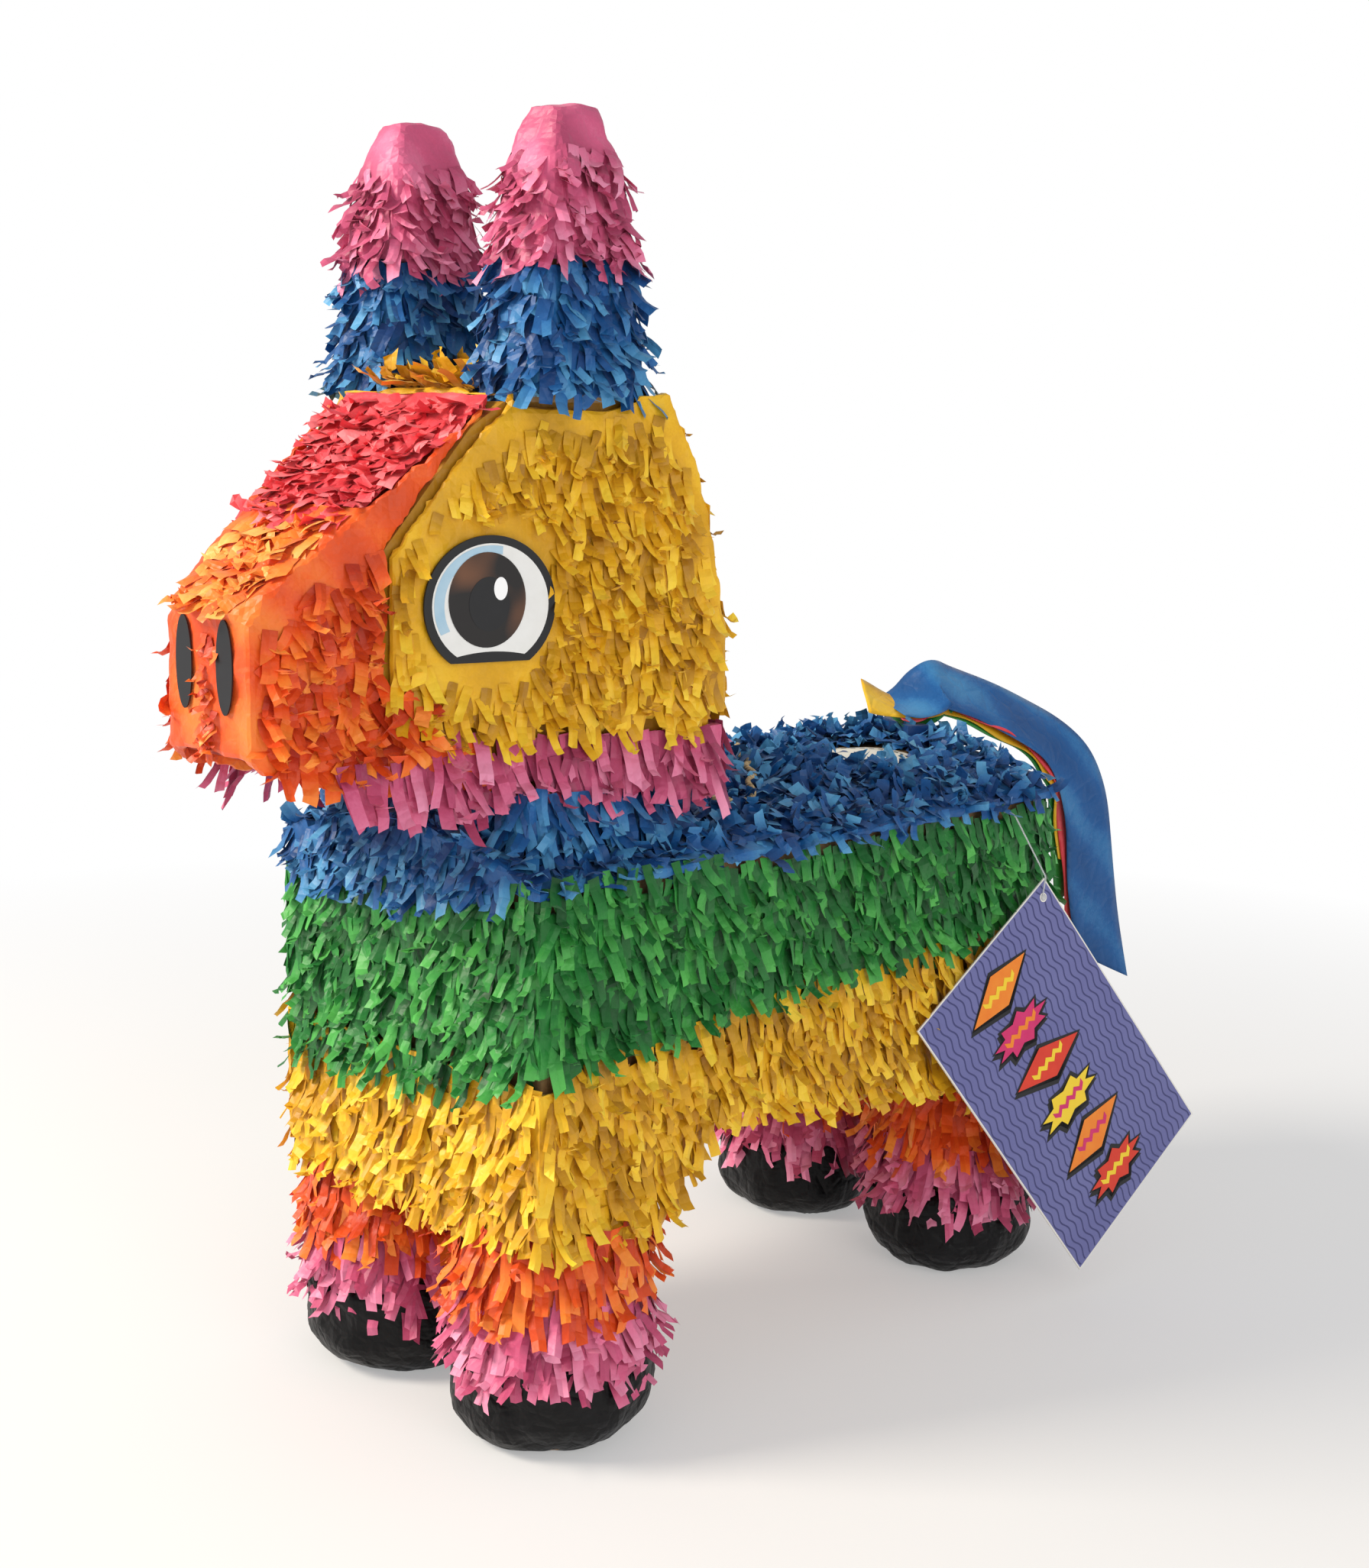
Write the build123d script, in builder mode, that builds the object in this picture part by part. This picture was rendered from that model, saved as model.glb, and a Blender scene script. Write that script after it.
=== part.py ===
from build123d import *
from math import cos, pi, radians, sin, sqrt, tan
import os

# A donkey piñata that stands on four hooves: a cardboard carcass under bands of tissue
# fringe, with a push-in fill flap, a twine loop to hang it by, a streamer tail and a tag.
# Millimetres. +Z is up, the donkey looks along -Y, its left side is +X, and the origin is
# on the floor midway between the four hooves.

# Driving dimensions of the carcass
card = 3.0  # board thickness
body_half = 82.0  # half the width over the side panels
body_front = -174.0
body_rear = 166.0
body_floor = 100.0  # underside of the body over the legs
body_top = 250.0  # top edge of the sides
back_crown = 15.0  # rise of the back's arch over that edge
arch_front = (-108.0, -72.0)  # start and end of the rise behind the front legs
arch_rear = (98.0, 112.0)  # start and end of the fall before the rear legs
belly_front = 136.0
belly_rear = 114.0

# Legs and hooves
leg_x = 53.0
leg_y = 142.0
leg_r = 34.0
hoof_r = 45.0
hoof_top = 46.0
hoof_wall = 4.0
sole_r = 30.0
hoof_bulge = 20.0  # height at which the sole's curve ends
bowl_ease = 2.0  # how much flatter than a quarter round that curve is outside
rim_curve = 5.0

# Neck and head
neck_half = 64.0
neck_front = -164.0
neck_rear = -84.0
jaw_z = 288.0
nose_y = -271.0
nose_low = 306.0
nose_high = 362.0
chin_y = -235.0
chin_z = 296.0
throat_y = -196.0
brow_y = -180.0
brow_z = 434.0
crown_z = 444.0
crown_front = -170.0
crown_rear = -104.0
nape_y = -88.0
nape_z = 410.0
back_y = -75.0  # back of the head
back_z = 345.0
cheek_front = -222.0
cheek_low = 326.0
cheek_high = 384.0
cheek_brow = 4.0  # how far the cheek reaches ahead of the brow
cheek_corner = 14.0
plan_half = 36.0  # half the inner width at plan_y
plan_y = -225.0
plan_taper = 0.255  # how fast the head widens towards the back
plan_spare = 20.0  # how far the head's plan runs past both ends, for cutting

# Ears
ear_x = 49.0
ear_y = -135.0
ear_split = 500.0  # where pink fringe meets blue
ear_sections = ((crown_z, 34.0, 54.0), (ear_split, 27.0, 40.0), (540.0, 18.0, 25.0), (553.0, 7.0, 11.0))
ear_round = 0.4  # corner radius of an ear over half its width
ear_least = 1.0  # least width of the hollow at an ear's tip

# Tissue fringe
side_fringe = 9.0
back_fringe = 6.0
leg_fringe = 9.0
neck_fringe = 9.0
head_fringe = 7.0
muzzle_fringe = 6.0
nose_paper = 5.0
yellow_top = 170.0
green_top = 246.0
orange_low = 70.0
jaw_band = 312.0
red_low = -227.0  # where the red on the forehead gives way to orange
orange_back = -178.0  # where the orange under the cheek gives way to pink

# Fill flap and its label
flap_x = 8.0
flap_y = 108.0
flap_r = 35.0
flap_gap = 1.0
label_r = 33.0
paper = 0.6

# Stickers on the face
eye_y = -181.0
eye_z = 364.0
eye_r = 28.0
eye_cut = 22.5  # how far below the centre the flat edge lies
nostril_x = 14.0
nostril_z = 342.0
nostril_size = (11.0, 37.0)

# Twine, toggle, tail and tag
twine_d = 3.0
twine_hole = 2.5  # radius of its two holes
twine_parting = 2.0  # how much wider the fringe opens round it
twine_gap = 0.5  # between the twine and the coat it lies on
toggle_r = 4.0
toggle_gap = 6.0  # between the toggle and the back panel over it
toggle_clear = 0.2  # between the twine's ends and the toggle
toggle_length = 110.0
streamer_width = 36.0
streamer = 1.0
tail_foot = (-5.0, 156.0)
tail_heading = 27.0  # degrees from straight back towards the donkey's left
tail_rise = 278.0
tab_size = (34.0, 12.0)  # the card tab's width and depth
tail_flat = 8.0  # length along which the streamers lie on the tab
tail_peak = (30.0, 18.0)  # run and rise of the peak
tail_brow = (96.0, -26.0)  # where they tip over
tail_fold = (113.0, -60.0)  # where they hang straight down
tail_bend = 9.0
tag_width = 112.0
tag_height = 168.0
tag_card = 0.8
tag_stand = 9.0  # how far the hung corner stands off the fringe
tag_hang = (149.0, 211.0)  # where that corner is, in Y and Z
tag_heading = 80.0
tag_lean = 10.0
tag_turn = 34.8
tag_hole = 2.0
tag_pin = (128.0, 246.0)  # where the plastic fastener enters the side
tag_inset = 7.0  # the hole's distance from both edges
fastener_r = 0.4
fastener_out = 4.0  # how far it sticks out before it bends
fastener_drop = (4.0, -4.0, 12.0)  # its last bend, from the hole
fastener_bend = 3.0

# Sizes that follow
arch_r = (body_half**2 + back_crown**2) / (2 * back_crown)
arch_z = body_top + back_crown - arch_r
inner_half = body_half - card
coat_half = body_half + side_fringe
coat_r = arch_r + back_fringe
tag_corner = (coat_half + tag_stand, *tag_hang)
far = 400.0  # past every face, for cutting
legs = {
    "front_left": (leg_x, -leg_y),
    "front_right": (-leg_x, -leg_y),
    "rear_left": (leg_x, leg_y),
    "rear_right": (-leg_x, leg_y),
}
pieces = {}


def head_half(y, grow=0.0):
    """Half the head's width at y, taken at the outside of the muzzle and strips."""
    return plan_half + plan_taper * (y - plan_y) + grow * sqrt(1 + plan_taper**2)


def arch_height(x, radius):
    """Height of the back's arch of that radius at x."""
    return arch_z + sqrt(radius**2 - x**2)


# The body's side outline, and the solid forms that its panels and fringe are cut from
underside = [
    (arch_front[0], body_floor),
    (arch_front[1], belly_front),
    (arch_rear[0], belly_rear),
    (arch_rear[1], body_floor),
]


def body_form(front, rear, half, radius):
    """A closed form of the body between two ends, under an arch of that radius."""
    with BuildPart() as form:
        with BuildSketch(Plane.YZ):
            Polygon((front, body_floor), *underside, (rear, body_floor), (rear, far), (front, far), align=None)
        extrude(amount=half, both=True)
        with Locations(Location((0, 0, arch_z), (90, 0, 0))):
            Cylinder(radius, 2 * far, mode=Mode.INTERSECT)
    return form.part


carcass = body_form(body_front, body_rear, body_half, arch_r)
lined = body_form(body_front, body_rear, body_half, arch_r - card)
coat = body_form(body_front - side_fringe, body_rear + side_fringe, coat_half, coat_r)

with BuildPart() as side_left:
    add(lined)
    with Locations((inner_half, 0, 0)):
        Box(card, 2 * far, 2 * far, align=(Align.MIN, Align.CENTER, Align.CENTER), mode=Mode.INTERSECT)
    with Locations(Location((body_half, tag_pin[0], tag_pin[1]), (0, 90, 0))):
        Hole(2 * fastener_r, depth=2 * card)
pieces["side_left"] = side_left

with BuildPart() as side_right:
    add(lined)
    with Locations((-inner_half, 0, 0)):
        Box(card, 2 * far, 2 * far, align=(Align.MAX, Align.CENTER, Align.CENTER), mode=Mode.INTERSECT)
pieces["side_right"] = side_right

for name, y, align in (("chest_panel", body_front, Align.MIN), ("rump_panel", body_rear, Align.MAX)):
    with BuildPart() as end_panel:
        add(lined)
        with Locations((0, y, 0)):
            Box(2 * inner_half, card, 2 * far, align=(Align.CENTER, align, Align.CENTER), mode=Mode.INTERSECT)
    pieces[name] = end_panel

with BuildPart() as belly_panel:
    with BuildSketch(Plane.YZ):
        Polygon(
            (body_front, body_floor),
            *underside,
            (body_rear, body_floor),
            (body_rear, body_top),
            (body_front, body_top),
            align=None,
        )
        offset(amount=-card, kind=Kind.INTERSECTION, mode=Mode.SUBTRACT)
    extrude(amount=inner_half, both=True)
    with Locations((0, body_front + card, 0)):
        Box(
            2 * far,
            body_rear - body_front - 2 * card,
            2 * (belly_front + 4 * card),
            align=(Align.CENTER, Align.MIN, Align.CENTER),
            mode=Mode.INTERSECT,
        )
pieces["belly_panel"] = belly_panel

# The back: an arched sheet with the fill hole, two holes for the twine
twine_ends = ((34.0, -48.0), (-30.0, -40.0))
with BuildPart() as back_panel:
    add(carcass)
    add(lined, mode=Mode.SUBTRACT)
    with Locations((flap_x, flap_y, body_top)):
        Cylinder(flap_r + flap_gap, far, mode=Mode.SUBTRACT)
    with Locations(*[(x, y, body_top) for x, y in twine_ends]):
        Cylinder(twine_hole, far, mode=Mode.SUBTRACT)
pieces["back_panel"] = back_panel

with BuildPart() as fill_flap:
    add(carcass)
    add(lined, mode=Mode.SUBTRACT)
    with Locations((flap_x, flap_y, body_top)):
        Cylinder(flap_r, far, mode=Mode.INTERSECT)
pieces["fill_flap"] = fill_flap

with BuildPart() as flap_label:
    with Locations(Location((0, 0, arch_z), (90, 0, 0))):
        Cylinder(arch_r + paper, 2 * far)
        Cylinder(arch_r, 2 * far, mode=Mode.SUBTRACT)
    with Locations((flap_x, flap_y, body_top)):
        Cylinder(label_r, 4 * back_crown, mode=Mode.INTERSECT)
pieces["flap_label"] = flap_label

# Legs: rolled tubes that stand in the hooves and carry the body's underside
for name, (x, y) in legs.items():
    with BuildPart() as leg:
        with BuildSketch(Plane.XY.offset(hoof_wall).shift_origin((x, y, hoof_wall))):
            Circle(leg_r)
            Circle(leg_r - card, mode=Mode.SUBTRACT)
        extrude(amount=body_floor - hoof_wall)
    pieces[f"leg_{name}"] = leg

    with BuildPart() as hoof:
        with BuildSketch(Plane((x, y, 0), x_dir=(1, 0, 0), z_dir=(0, -1, 0))):
            with BuildLine():
                sole = Line((0, 0), (sole_r, 0))
                bowl = RadiusArc(sole @ 1, (hoof_r, hoof_bulge), -hoof_bulge - bowl_ease)
                wall = Line(bowl @ 1, (hoof_r, hoof_top - rim_curve))
                rim = RadiusArc(wall @ 1, (hoof_r - rim_curve, hoof_top), -rim_curve)
                Polyline(rim @ 1, (0, hoof_top), (0, 0))
            make_face()
        revolve(axis=Axis((x, y, 0), (0, 0, 1)))
        with BuildSketch(Plane((x, y, 0), x_dir=(1, 0, 0), z_dir=(0, -1, 0))):
            with BuildLine():
                floor = Line((0, hoof_wall), (sole_r - 1, hoof_wall))
                bowl = RadiusArc(floor @ 1, (hoof_r - hoof_wall, hoof_bulge), -hoof_bulge + bowl_ease)
                wall = Line(bowl @ 1, (hoof_r - hoof_wall, hoof_top - hoof_wall))
                Polyline(wall @ 1, (leg_r, hoof_top - hoof_wall), (leg_r, hoof_top), (0, hoof_top), (0, hoof_wall))
            make_face()
        revolve(axis=Axis((x, y, 0), (0, 0, 1)), mode=Mode.SUBTRACT)
        with BuildSketch(Plane.XY.offset(hoof_wall).shift_origin((x, y, hoof_wall))):
            Circle(leg_r)
        extrude(amount=hoof_top, mode=Mode.SUBTRACT)
    pieces[f"hoof_{name}"] = hoof

    for band, low, high in (("pink", hoof_top, orange_low), ("orange", orange_low, body_floor)):
        with BuildPart() as leg_band:
            with BuildSketch(Plane.XY.offset(low).shift_origin((x, y, low))):
                Circle(leg_r + leg_fringe)
                Circle(leg_r, mode=Mode.SUBTRACT)
            extrude(amount=high - low)
        pieces[f"fringe_{band}_{name}"] = leg_band

# Neck: a short card box from the back up to the jaw, and its blue fringe
neck_length = neck_rear - neck_front
neck_middle = (neck_rear + neck_front) / 2
with BuildPart() as neck:
    with BuildSketch(Plane.XY.offset(body_top).shift_origin((0, neck_middle, body_top))):
        Rectangle(2 * neck_half, neck_length)
        Rectangle(2 * (neck_half - card), neck_length - 2 * card, mode=Mode.SUBTRACT)
    extrude(amount=jaw_z - body_top)
    add(carcass, mode=Mode.SUBTRACT)
pieces["neck"] = neck

with BuildPart() as fringe_neck:
    with BuildSketch(Plane.XY.offset(body_top).shift_origin((0, neck_middle, body_top))):
        Rectangle(2 * (neck_half + neck_fringe), neck_length + 2 * neck_fringe)
        Rectangle(2 * neck_half, neck_length, mode=Mode.SUBTRACT)
    extrude(amount=jaw_z - body_top)
    add(coat, mode=Mode.SUBTRACT)
pieces["fringe_neck"] = fringe_neck

# Head: a ring of card strips between two cheek plates, narrowing to the nose in plan
head_outline = [
    (nose_y, nose_low),
    (nose_y, nose_high),
    (brow_y, brow_z),
    (crown_front, crown_z),
    (crown_rear, crown_z),
    (nape_y, nape_z),
    (back_y, back_z),
    (back_y, jaw_z),
    (throat_y, jaw_z),
    (chin_y, chin_z),
]


def wedge(grow, front=nose_y - plan_spare, rear=back_y + plan_spare):
    """The head's plan as a tall prism, its sides moved out by grow."""
    with BuildPart() as form:
        with BuildSketch(Plane.XY):
            Polygon(
                (-head_half(front, grow), front),
                (head_half(front, grow), front),
                (head_half(rear, grow), rear),
                (-head_half(rear, grow), rear),
                align=None,
            )
        extrude(amount=2 * far)
    return form.part


def head_ring(y_range, z_range):
    """The part of the ring of head strips inside a box of Y and Z."""
    with BuildPart() as strip:
        with BuildSketch(Plane.YZ):
            Polygon(*head_outline, align=None)
            offset(amount=-card, kind=Kind.INTERSECTION, mode=Mode.SUBTRACT)
        extrude(amount=far, both=True)
        add(wedge(0), mode=Mode.INTERSECT)
        with Locations((0, y_range[0], z_range[0])):
            Box(
                2 * far,
                y_range[1] - y_range[0],
                z_range[1] - z_range[0],
                align=(Align.CENTER, Align.MIN, Align.MIN),
                mode=Mode.INTERSECT,
            )
    return strip


nose_back = nose_y + card
muzzle_front = head_ring((-far, nose_back), (0, far + far))
muzzle_top = head_ring((nose_back, brow_y), (cheek_low, far + far))
jaw_panel = head_ring((nose_back, back_y - card), (0, cheek_low))
pieces["muzzle_front"] = muzzle_front
pieces["muzzle_top"] = muzzle_top
pieces["jaw_panel"] = jaw_panel

with BuildPart() as crown_strip:
    add(head_ring((brow_y, far), (0, far + far)).part)
    add(jaw_panel.part, mode=Mode.SUBTRACT)
pieces["crown_strip"] = crown_strip

with BuildPart() as muzzle_side_left:
    with BuildSketch(Plane.YZ):
        Polygon(*head_outline, align=None)
        offset(amount=-card, kind=Kind.INTERSECTION)
    extrude(amount=far)
    add(wedge(0), mode=Mode.INTERSECT)
    add(wedge(-card), mode=Mode.SUBTRACT)
    with Locations((0, throat_y, 0)):
        Box(4 * far, 2 * far, 4 * far, align=(Align.CENTER, Align.MAX, Align.CENTER), mode=Mode.INTERSECT)
pieces["muzzle_side_left"] = muzzle_side_left

# The cheek's edge: straight behind and below, with round corners ahead
with BuildSketch() as cheek_shape:
    Polygon(
        (throat_y, jaw_z),
        (cheek_front, cheek_low),
        (cheek_front, cheek_high),
        (brow_y - cheek_brow, brow_z),
        (crown_front, crown_z),
        (crown_rear, crown_z),
        (nape_y, nape_z),
        (back_y, back_z),
        (back_y, jaw_z),
        align=None,
    )
    fillet(cheek_shape.vertices().sort_by(Axis.X)[:4], cheek_corner)

with BuildPart() as cheek_left:
    with BuildSketch(Plane.YZ):
        add(cheek_shape.sketch)
    extrude(amount=far)
    add(wedge(card), mode=Mode.INTERSECT)
    add(wedge(0), mode=Mode.SUBTRACT)
pieces["cheek_left"] = cheek_left

for name in ("muzzle_side", "cheek"):
    with BuildPart() as right_piece:
        mirror(pieces[f"{name}_left"].part, about=Plane.YZ)
    pieces[f"{name}_right"] = right_piece


def ear_form(grow, side):
    """An ear as a closed solid, grown by grow on every side but its foot."""
    with BuildPart() as form:
        for z, width, depth in ear_sections:
            top = z + grow if z == ear_sections[-1][0] else z
            wide = max(width + 2 * grow, ear_least)
            deep = max(depth + 2 * grow, ear_least)
            with BuildSketch(Plane.XY.offset(top).shift_origin((side * ear_x, ear_y, top))):
                RectangleRounded(wide, deep, ear_round * min(wide, deep) / 2)
        loft(ruled=True)
    return form.part


for name, side in (("left", 1), ("right", -1)):
    with BuildPart() as ear:
        add(ear_form(0, side))
        add(ear_form(-card, side), mode=Mode.SUBTRACT)
    pieces[f"ear_{name}"] = ear

    for band, keep in (("blue", Align.MAX), ("pink", Align.MIN)):
        with BuildPart() as ear_band:
            add(ear_form(head_fringe, side))
            add(ear_form(0, side), mode=Mode.SUBTRACT)
            with Locations((0, 0, ear_split)):
                Box(2 * far, 2 * far, far, align=(Align.CENTER, Align.CENTER, keep), mode=Mode.INTERSECT)
        pieces[f"fringe_ear_{band}_{name}"] = ear_band

# Body fringe in three bands, open underneath
with BuildPart() as neck_block:
    with Locations((0, neck_middle, body_top)):
        Box(2 * neck_half, neck_length, far)

tail_dir = (sin(radians(tail_heading)), cos(radians(tail_heading)), 0)
with BuildPart() as tab_block:
    with Locations(Location((*tail_foot, body_top), (0, 0, -tail_heading))):
        Box(*tab_size, 2 * (tail_rise - body_top), align=(Align.CENTER, Align.MIN, Align.CENTER))

bands = {"yellow": (0, yellow_top), "green": (yellow_top, green_top), "blue": (green_top, far)}
for band, (low, high) in bands.items():
    with BuildPart() as body_band:
        add(coat)
        add(carcass, mode=Mode.SUBTRACT)
        with Locations((0, 0, low)):
            Box(2 * far, 2 * far, high - low, align=(Align.CENTER, Align.CENTER, Align.MIN), mode=Mode.INTERSECT)
        if band == "blue":
            add(neck_block.part, mode=Mode.SUBTRACT)
            add(tab_block.part, mode=Mode.SUBTRACT)
            with Locations((flap_x, flap_y, body_top)):
                Cylinder(flap_r + 3 * flap_gap, far, mode=Mode.SUBTRACT)
            with Locations(*[(x, y, body_top) for x, y in twine_ends]):
                Cylinder(twine_hole + twine_parting, far, mode=Mode.SUBTRACT)
        with Locations(Location((coat_half, tag_pin[0], tag_pin[1]), (0, 90, 0))):
            Hole(2 * fastener_r, depth=2 * side_fringe)
    pieces[f"fringe_body_{band}"] = body_band

# Head fringe. The skins lie on the cheeks, the strips and the muzzle's sides.
head_inner = wedge(0)
cheek_face = wedge(card)
head_coat = wedge(card + head_fringe)
muzzle_coat = wedge(muzzle_fringe)
with BuildPart() as cheek_prism:
    with BuildSketch(Plane.YZ):
        add(cheek_shape.sketch)
    extrude(amount=far, both=True)
with BuildPart() as cheek_skin:
    add(cheek_prism.part)
    add(head_coat, mode=Mode.INTERSECT)
    add(cheek_face, mode=Mode.SUBTRACT)
with BuildPart() as rear_skin:
    with BuildSketch(Plane.YZ):
        Polygon(*head_outline, align=None)
        offset(amount=head_fringe, kind=Kind.INTERSECTION)
        Polygon(*head_outline, align=None, mode=Mode.SUBTRACT)
    extrude(amount=far, both=True)
    add(head_coat, mode=Mode.INTERSECT)
    with Locations((0, crown_front, jaw_z)):
        Box(2 * far, far, far, align=(Align.CENTER, Align.MIN, Align.MIN), mode=Mode.INTERSECT)

for name, low, high in (("fringe_head_yellow", jaw_band, 2 * far), ("fringe_jaw_pink", 0, jaw_band)):
    with BuildPart() as head_band:
        add(cheek_skin.part)
        add(rear_skin.part)
        with Locations((0, 0, low)):
            Box(2 * far, 2 * far, high - low, align=(Align.CENTER, Align.CENTER, Align.MIN), mode=Mode.INTERSECT)
        if low:
            add(ear_form(head_fringe, 1), mode=Mode.SUBTRACT)
            add(ear_form(head_fringe, -1), mode=Mode.SUBTRACT)
        else:
            with Locations((0, orange_back, 0)):
                Box(2 * far, far, 2 * far, align=(Align.CENTER, Align.MIN, Align.CENTER), mode=Mode.INTERSECT)
    pieces[name] = head_band

with BuildPart() as slope_skin:
    with BuildSketch(Plane.YZ):
        Polygon(*head_outline, align=None)
        offset(amount=muzzle_fringe, kind=Kind.INTERSECTION)
        Polygon(*head_outline, align=None, mode=Mode.SUBTRACT)
    extrude(amount=far, both=True)
    add(head_inner, mode=Mode.INTERSECT)
    with Locations((0, crown_front, nose_high)):
        Box(2 * far, far, far, align=(Align.CENTER, Align.MAX, Align.MIN), mode=Mode.INTERSECT)

with BuildPart() as fringe_forehead_red:
    add(slope_skin.part)
    with Locations((0, red_low, 0)):
        Box(2 * far, far, 4 * far, align=(Align.CENTER, Align.MIN, Align.CENTER), mode=Mode.INTERSECT)
    add(pieces["fringe_head_yellow"].part, mode=Mode.SUBTRACT)
pieces["fringe_forehead_red"] = fringe_forehead_red

# Orange: the lower front corner of each cheek, the slope below the red, the nose, and the
# muzzle's sides as far back as the cheek plates
with BuildPart() as cheek_corner_skin:
    add(cheek_skin.part)
    with Locations((0, orange_back, jaw_band)):
        Box(2 * far, far, far, align=(Align.CENTER, Align.MAX, Align.MAX), mode=Mode.INTERSECT)
with BuildPart() as slope_end:
    add(slope_skin.part)
    with Locations((0, red_low, 0)):
        Box(2 * far, far, 4 * far, align=(Align.CENTER, Align.MAX, Align.CENTER), mode=Mode.INTERSECT)

nose_half = head_half(nose_y, muzzle_fringe)
with BuildPart() as fringe_muzzle_orange:
    with BuildSketch(Plane.YZ):
        Polygon(*head_outline, align=None)
        offset(amount=muzzle_fringe, kind=Kind.INTERSECTION)
    extrude(amount=far, both=True)
    add(muzzle_coat, mode=Mode.INTERSECT)
    add(head_inner, mode=Mode.SUBTRACT)
    with Locations((0, nose_y, 0)):
        Box(
            2 * far,
            orange_back - nose_y,
            4 * far,
            align=(Align.CENTER, Align.MIN, Align.CENTER),
            mode=Mode.INTERSECT,
        )
    add(cheek_prism.part, mode=Mode.SUBTRACT)
    add(cheek_corner_skin.part)
    add(slope_end.part)
    with BuildSketch(Plane.XZ.offset(-nose_y)):
        with Locations((0, nose_low)):
            Rectangle(2 * nose_half, nose_high - nose_low, align=(Align.CENTER, Align.MIN))
    extrude(amount=nose_paper)
pieces["fringe_muzzle_orange"] = fringe_muzzle_orange

# Eye and nostril stickers
sticker_face = wedge(card + head_fringe + paper)
with BuildPart() as eye_left:
    with BuildSketch(Plane.YZ):
        with Locations((eye_y, eye_z)):
            Circle(eye_r)
        with Locations((eye_y, eye_z - eye_cut)):
            Rectangle(2 * eye_r, eye_r, align=(Align.CENTER, Align.MAX), mode=Mode.SUBTRACT)
    extrude(amount=far)
    add(sticker_face, mode=Mode.INTERSECT)
    add(head_coat, mode=Mode.SUBTRACT)
pieces["eye_left"] = eye_left
with BuildPart() as eye_right:
    mirror(eye_left.part, about=Plane.YZ)
pieces["eye_right"] = eye_right

with BuildPart() as nostrils:
    with BuildSketch(Plane.XZ.offset(nose_paper - nose_y)):
        with Locations((-nostril_x, nostril_z), (nostril_x, nostril_z)):
            Ellipse(nostril_size[0] / 2, nostril_size[1] / 2)
    extrude(amount=paper)
pieces["nostrils"] = nostrils

# Twine: up through one hole, a wavy loop that lies on the back, and down the other.
# The toggle inside is a dowel across both holes.
toggle_z = arch_height(twine_ends[0][0], arch_r - card) - toggle_gap - toggle_r
lie = twine_d / 2 + twine_gap
twine_plan = [
    (48, -42),
    (59, -28),
    (49, -13),
    (37, -7),
    (31, 8),
    (17, 13),
    (9, 27),
    (-6, 33),
    (-14, 48),
    (-29, 55),
    (-37, 69),
    (-49, 76),
    (-63, 72),
    (-69, 59),
    (-62, 44),
    (-64, 27),
    (-53, 13),
    (-52, -5),
    (-40, -17),
]
first, last = twine_ends
twine_points = [
    (*first, toggle_z + toggle_r + toggle_clear),
    (*first, arch_height(first[0], coat_r) + lie + twine_d / 2),
    *[(x, y, arch_height(x, coat_r) + lie) for x, y in twine_plan],
    (*last, arch_height(last[0], coat_r) + lie + twine_d / 2),
    (*last, toggle_z + toggle_r + toggle_clear),
]


def bend_radii(points):
    """A radius for each inner point: 0.45 of the shorter run over the tangent of half the turn."""
    radii = []
    for before, here, after in zip(points, points[1:], points[2:]):
        a = Vector(here) - Vector(before)
        b = Vector(after) - Vector(here)
        radii.append(0.45 * min(a.length, b.length) / tan(radians(a.get_angle(b) / 2)))
    return radii


twine_radii = bend_radii(twine_points)
with BuildPart() as hanging_loop:
    with BuildLine() as route:
        FilletPolyline(*twine_points, radius=twine_radii)
    with BuildSketch(Plane(route.line @ 0, z_dir=route.line % 0)):
        Circle(twine_d / 2)
    sweep()
pieces["hanging_loop"] = hanging_loop
twine_length = sum(edge.length for edge in route.line.edges())
twine_section = pi * (twine_d / 2) ** 2
print("twine radii", [round(r, 1) for r in twine_radii], "length", round(twine_length, 1))
print("twine volume over section times length", round(hanging_loop.part.volume / (twine_section * twine_length), 4))

toggle_middle = ((first[0] + last[0]) / 2, (first[1] + last[1]) / 2, toggle_z)
toggle_dir = (first[0] - last[0], first[1] - last[1], 0)
with BuildPart() as toggle:
    with BuildSketch(Plane(toggle_middle, z_dir=toggle_dir)):
        Circle(toggle_r)
    extrude(amount=toggle_length / 2, both=True)
pieces["toggle"] = toggle

# Tail: a card tab on the rump, and four crepe streamers that rise from it, fold over and hang.
with BuildPart() as tail_tab:
    add(tab_block.part)
    add(carcass, mode=Mode.SUBTRACT)
    with Locations((0, 0, body_top)):
        Box(2 * far, 2 * far, far, align=(Align.CENTER, Align.CENTER, Align.MIN), mode=Mode.INTERSECT)
pieces["tail_tab"] = tail_tab

tail_plane = Plane((*tail_foot, 0), x_dir=tail_dir, z_dir=(tail_dir[1], -tail_dir[0], 0))
streamer_step = (-1.6, -3.2)  # each layer lies behind and below the one before
# each streamer's start along the tail and the height of its tip, from the top one down
streamers = {"blue": (-6, 148), "red": (-9, 168), "yellow": (-12, 205), "green": (-4, 186)}
stack = len(streamers)
tail_gap = 0.3  # between the tab and the lowest streamer
for layer, (name, (start, tip)) in enumerate(streamers.items()):
    along, down = (step * layer for step in streamer_step)
    lift = tail_rise + tail_gap + streamer / 2 - streamer_step[1] * (stack - 1) + down
    with BuildPart() as tail_piece:
        with BuildSketch(tail_plane):
            with BuildLine():
                FilletPolyline(
                    (start, lift),
                    (tail_flat, lift),
                    (tail_peak[0] + along, lift + tail_peak[1]),
                    (tail_brow[0] + along, lift + tail_brow[1]),
                    (tail_fold[0] + along, lift + tail_fold[1]),
                    (tail_fold[0] + along, tip),
                    radius=tail_bend,
                )
            trace(line_width=streamer)
        extrude(amount=streamer_width / 2, both=True)
    pieces[f"streamer_{name}"] = tail_piece

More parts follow.
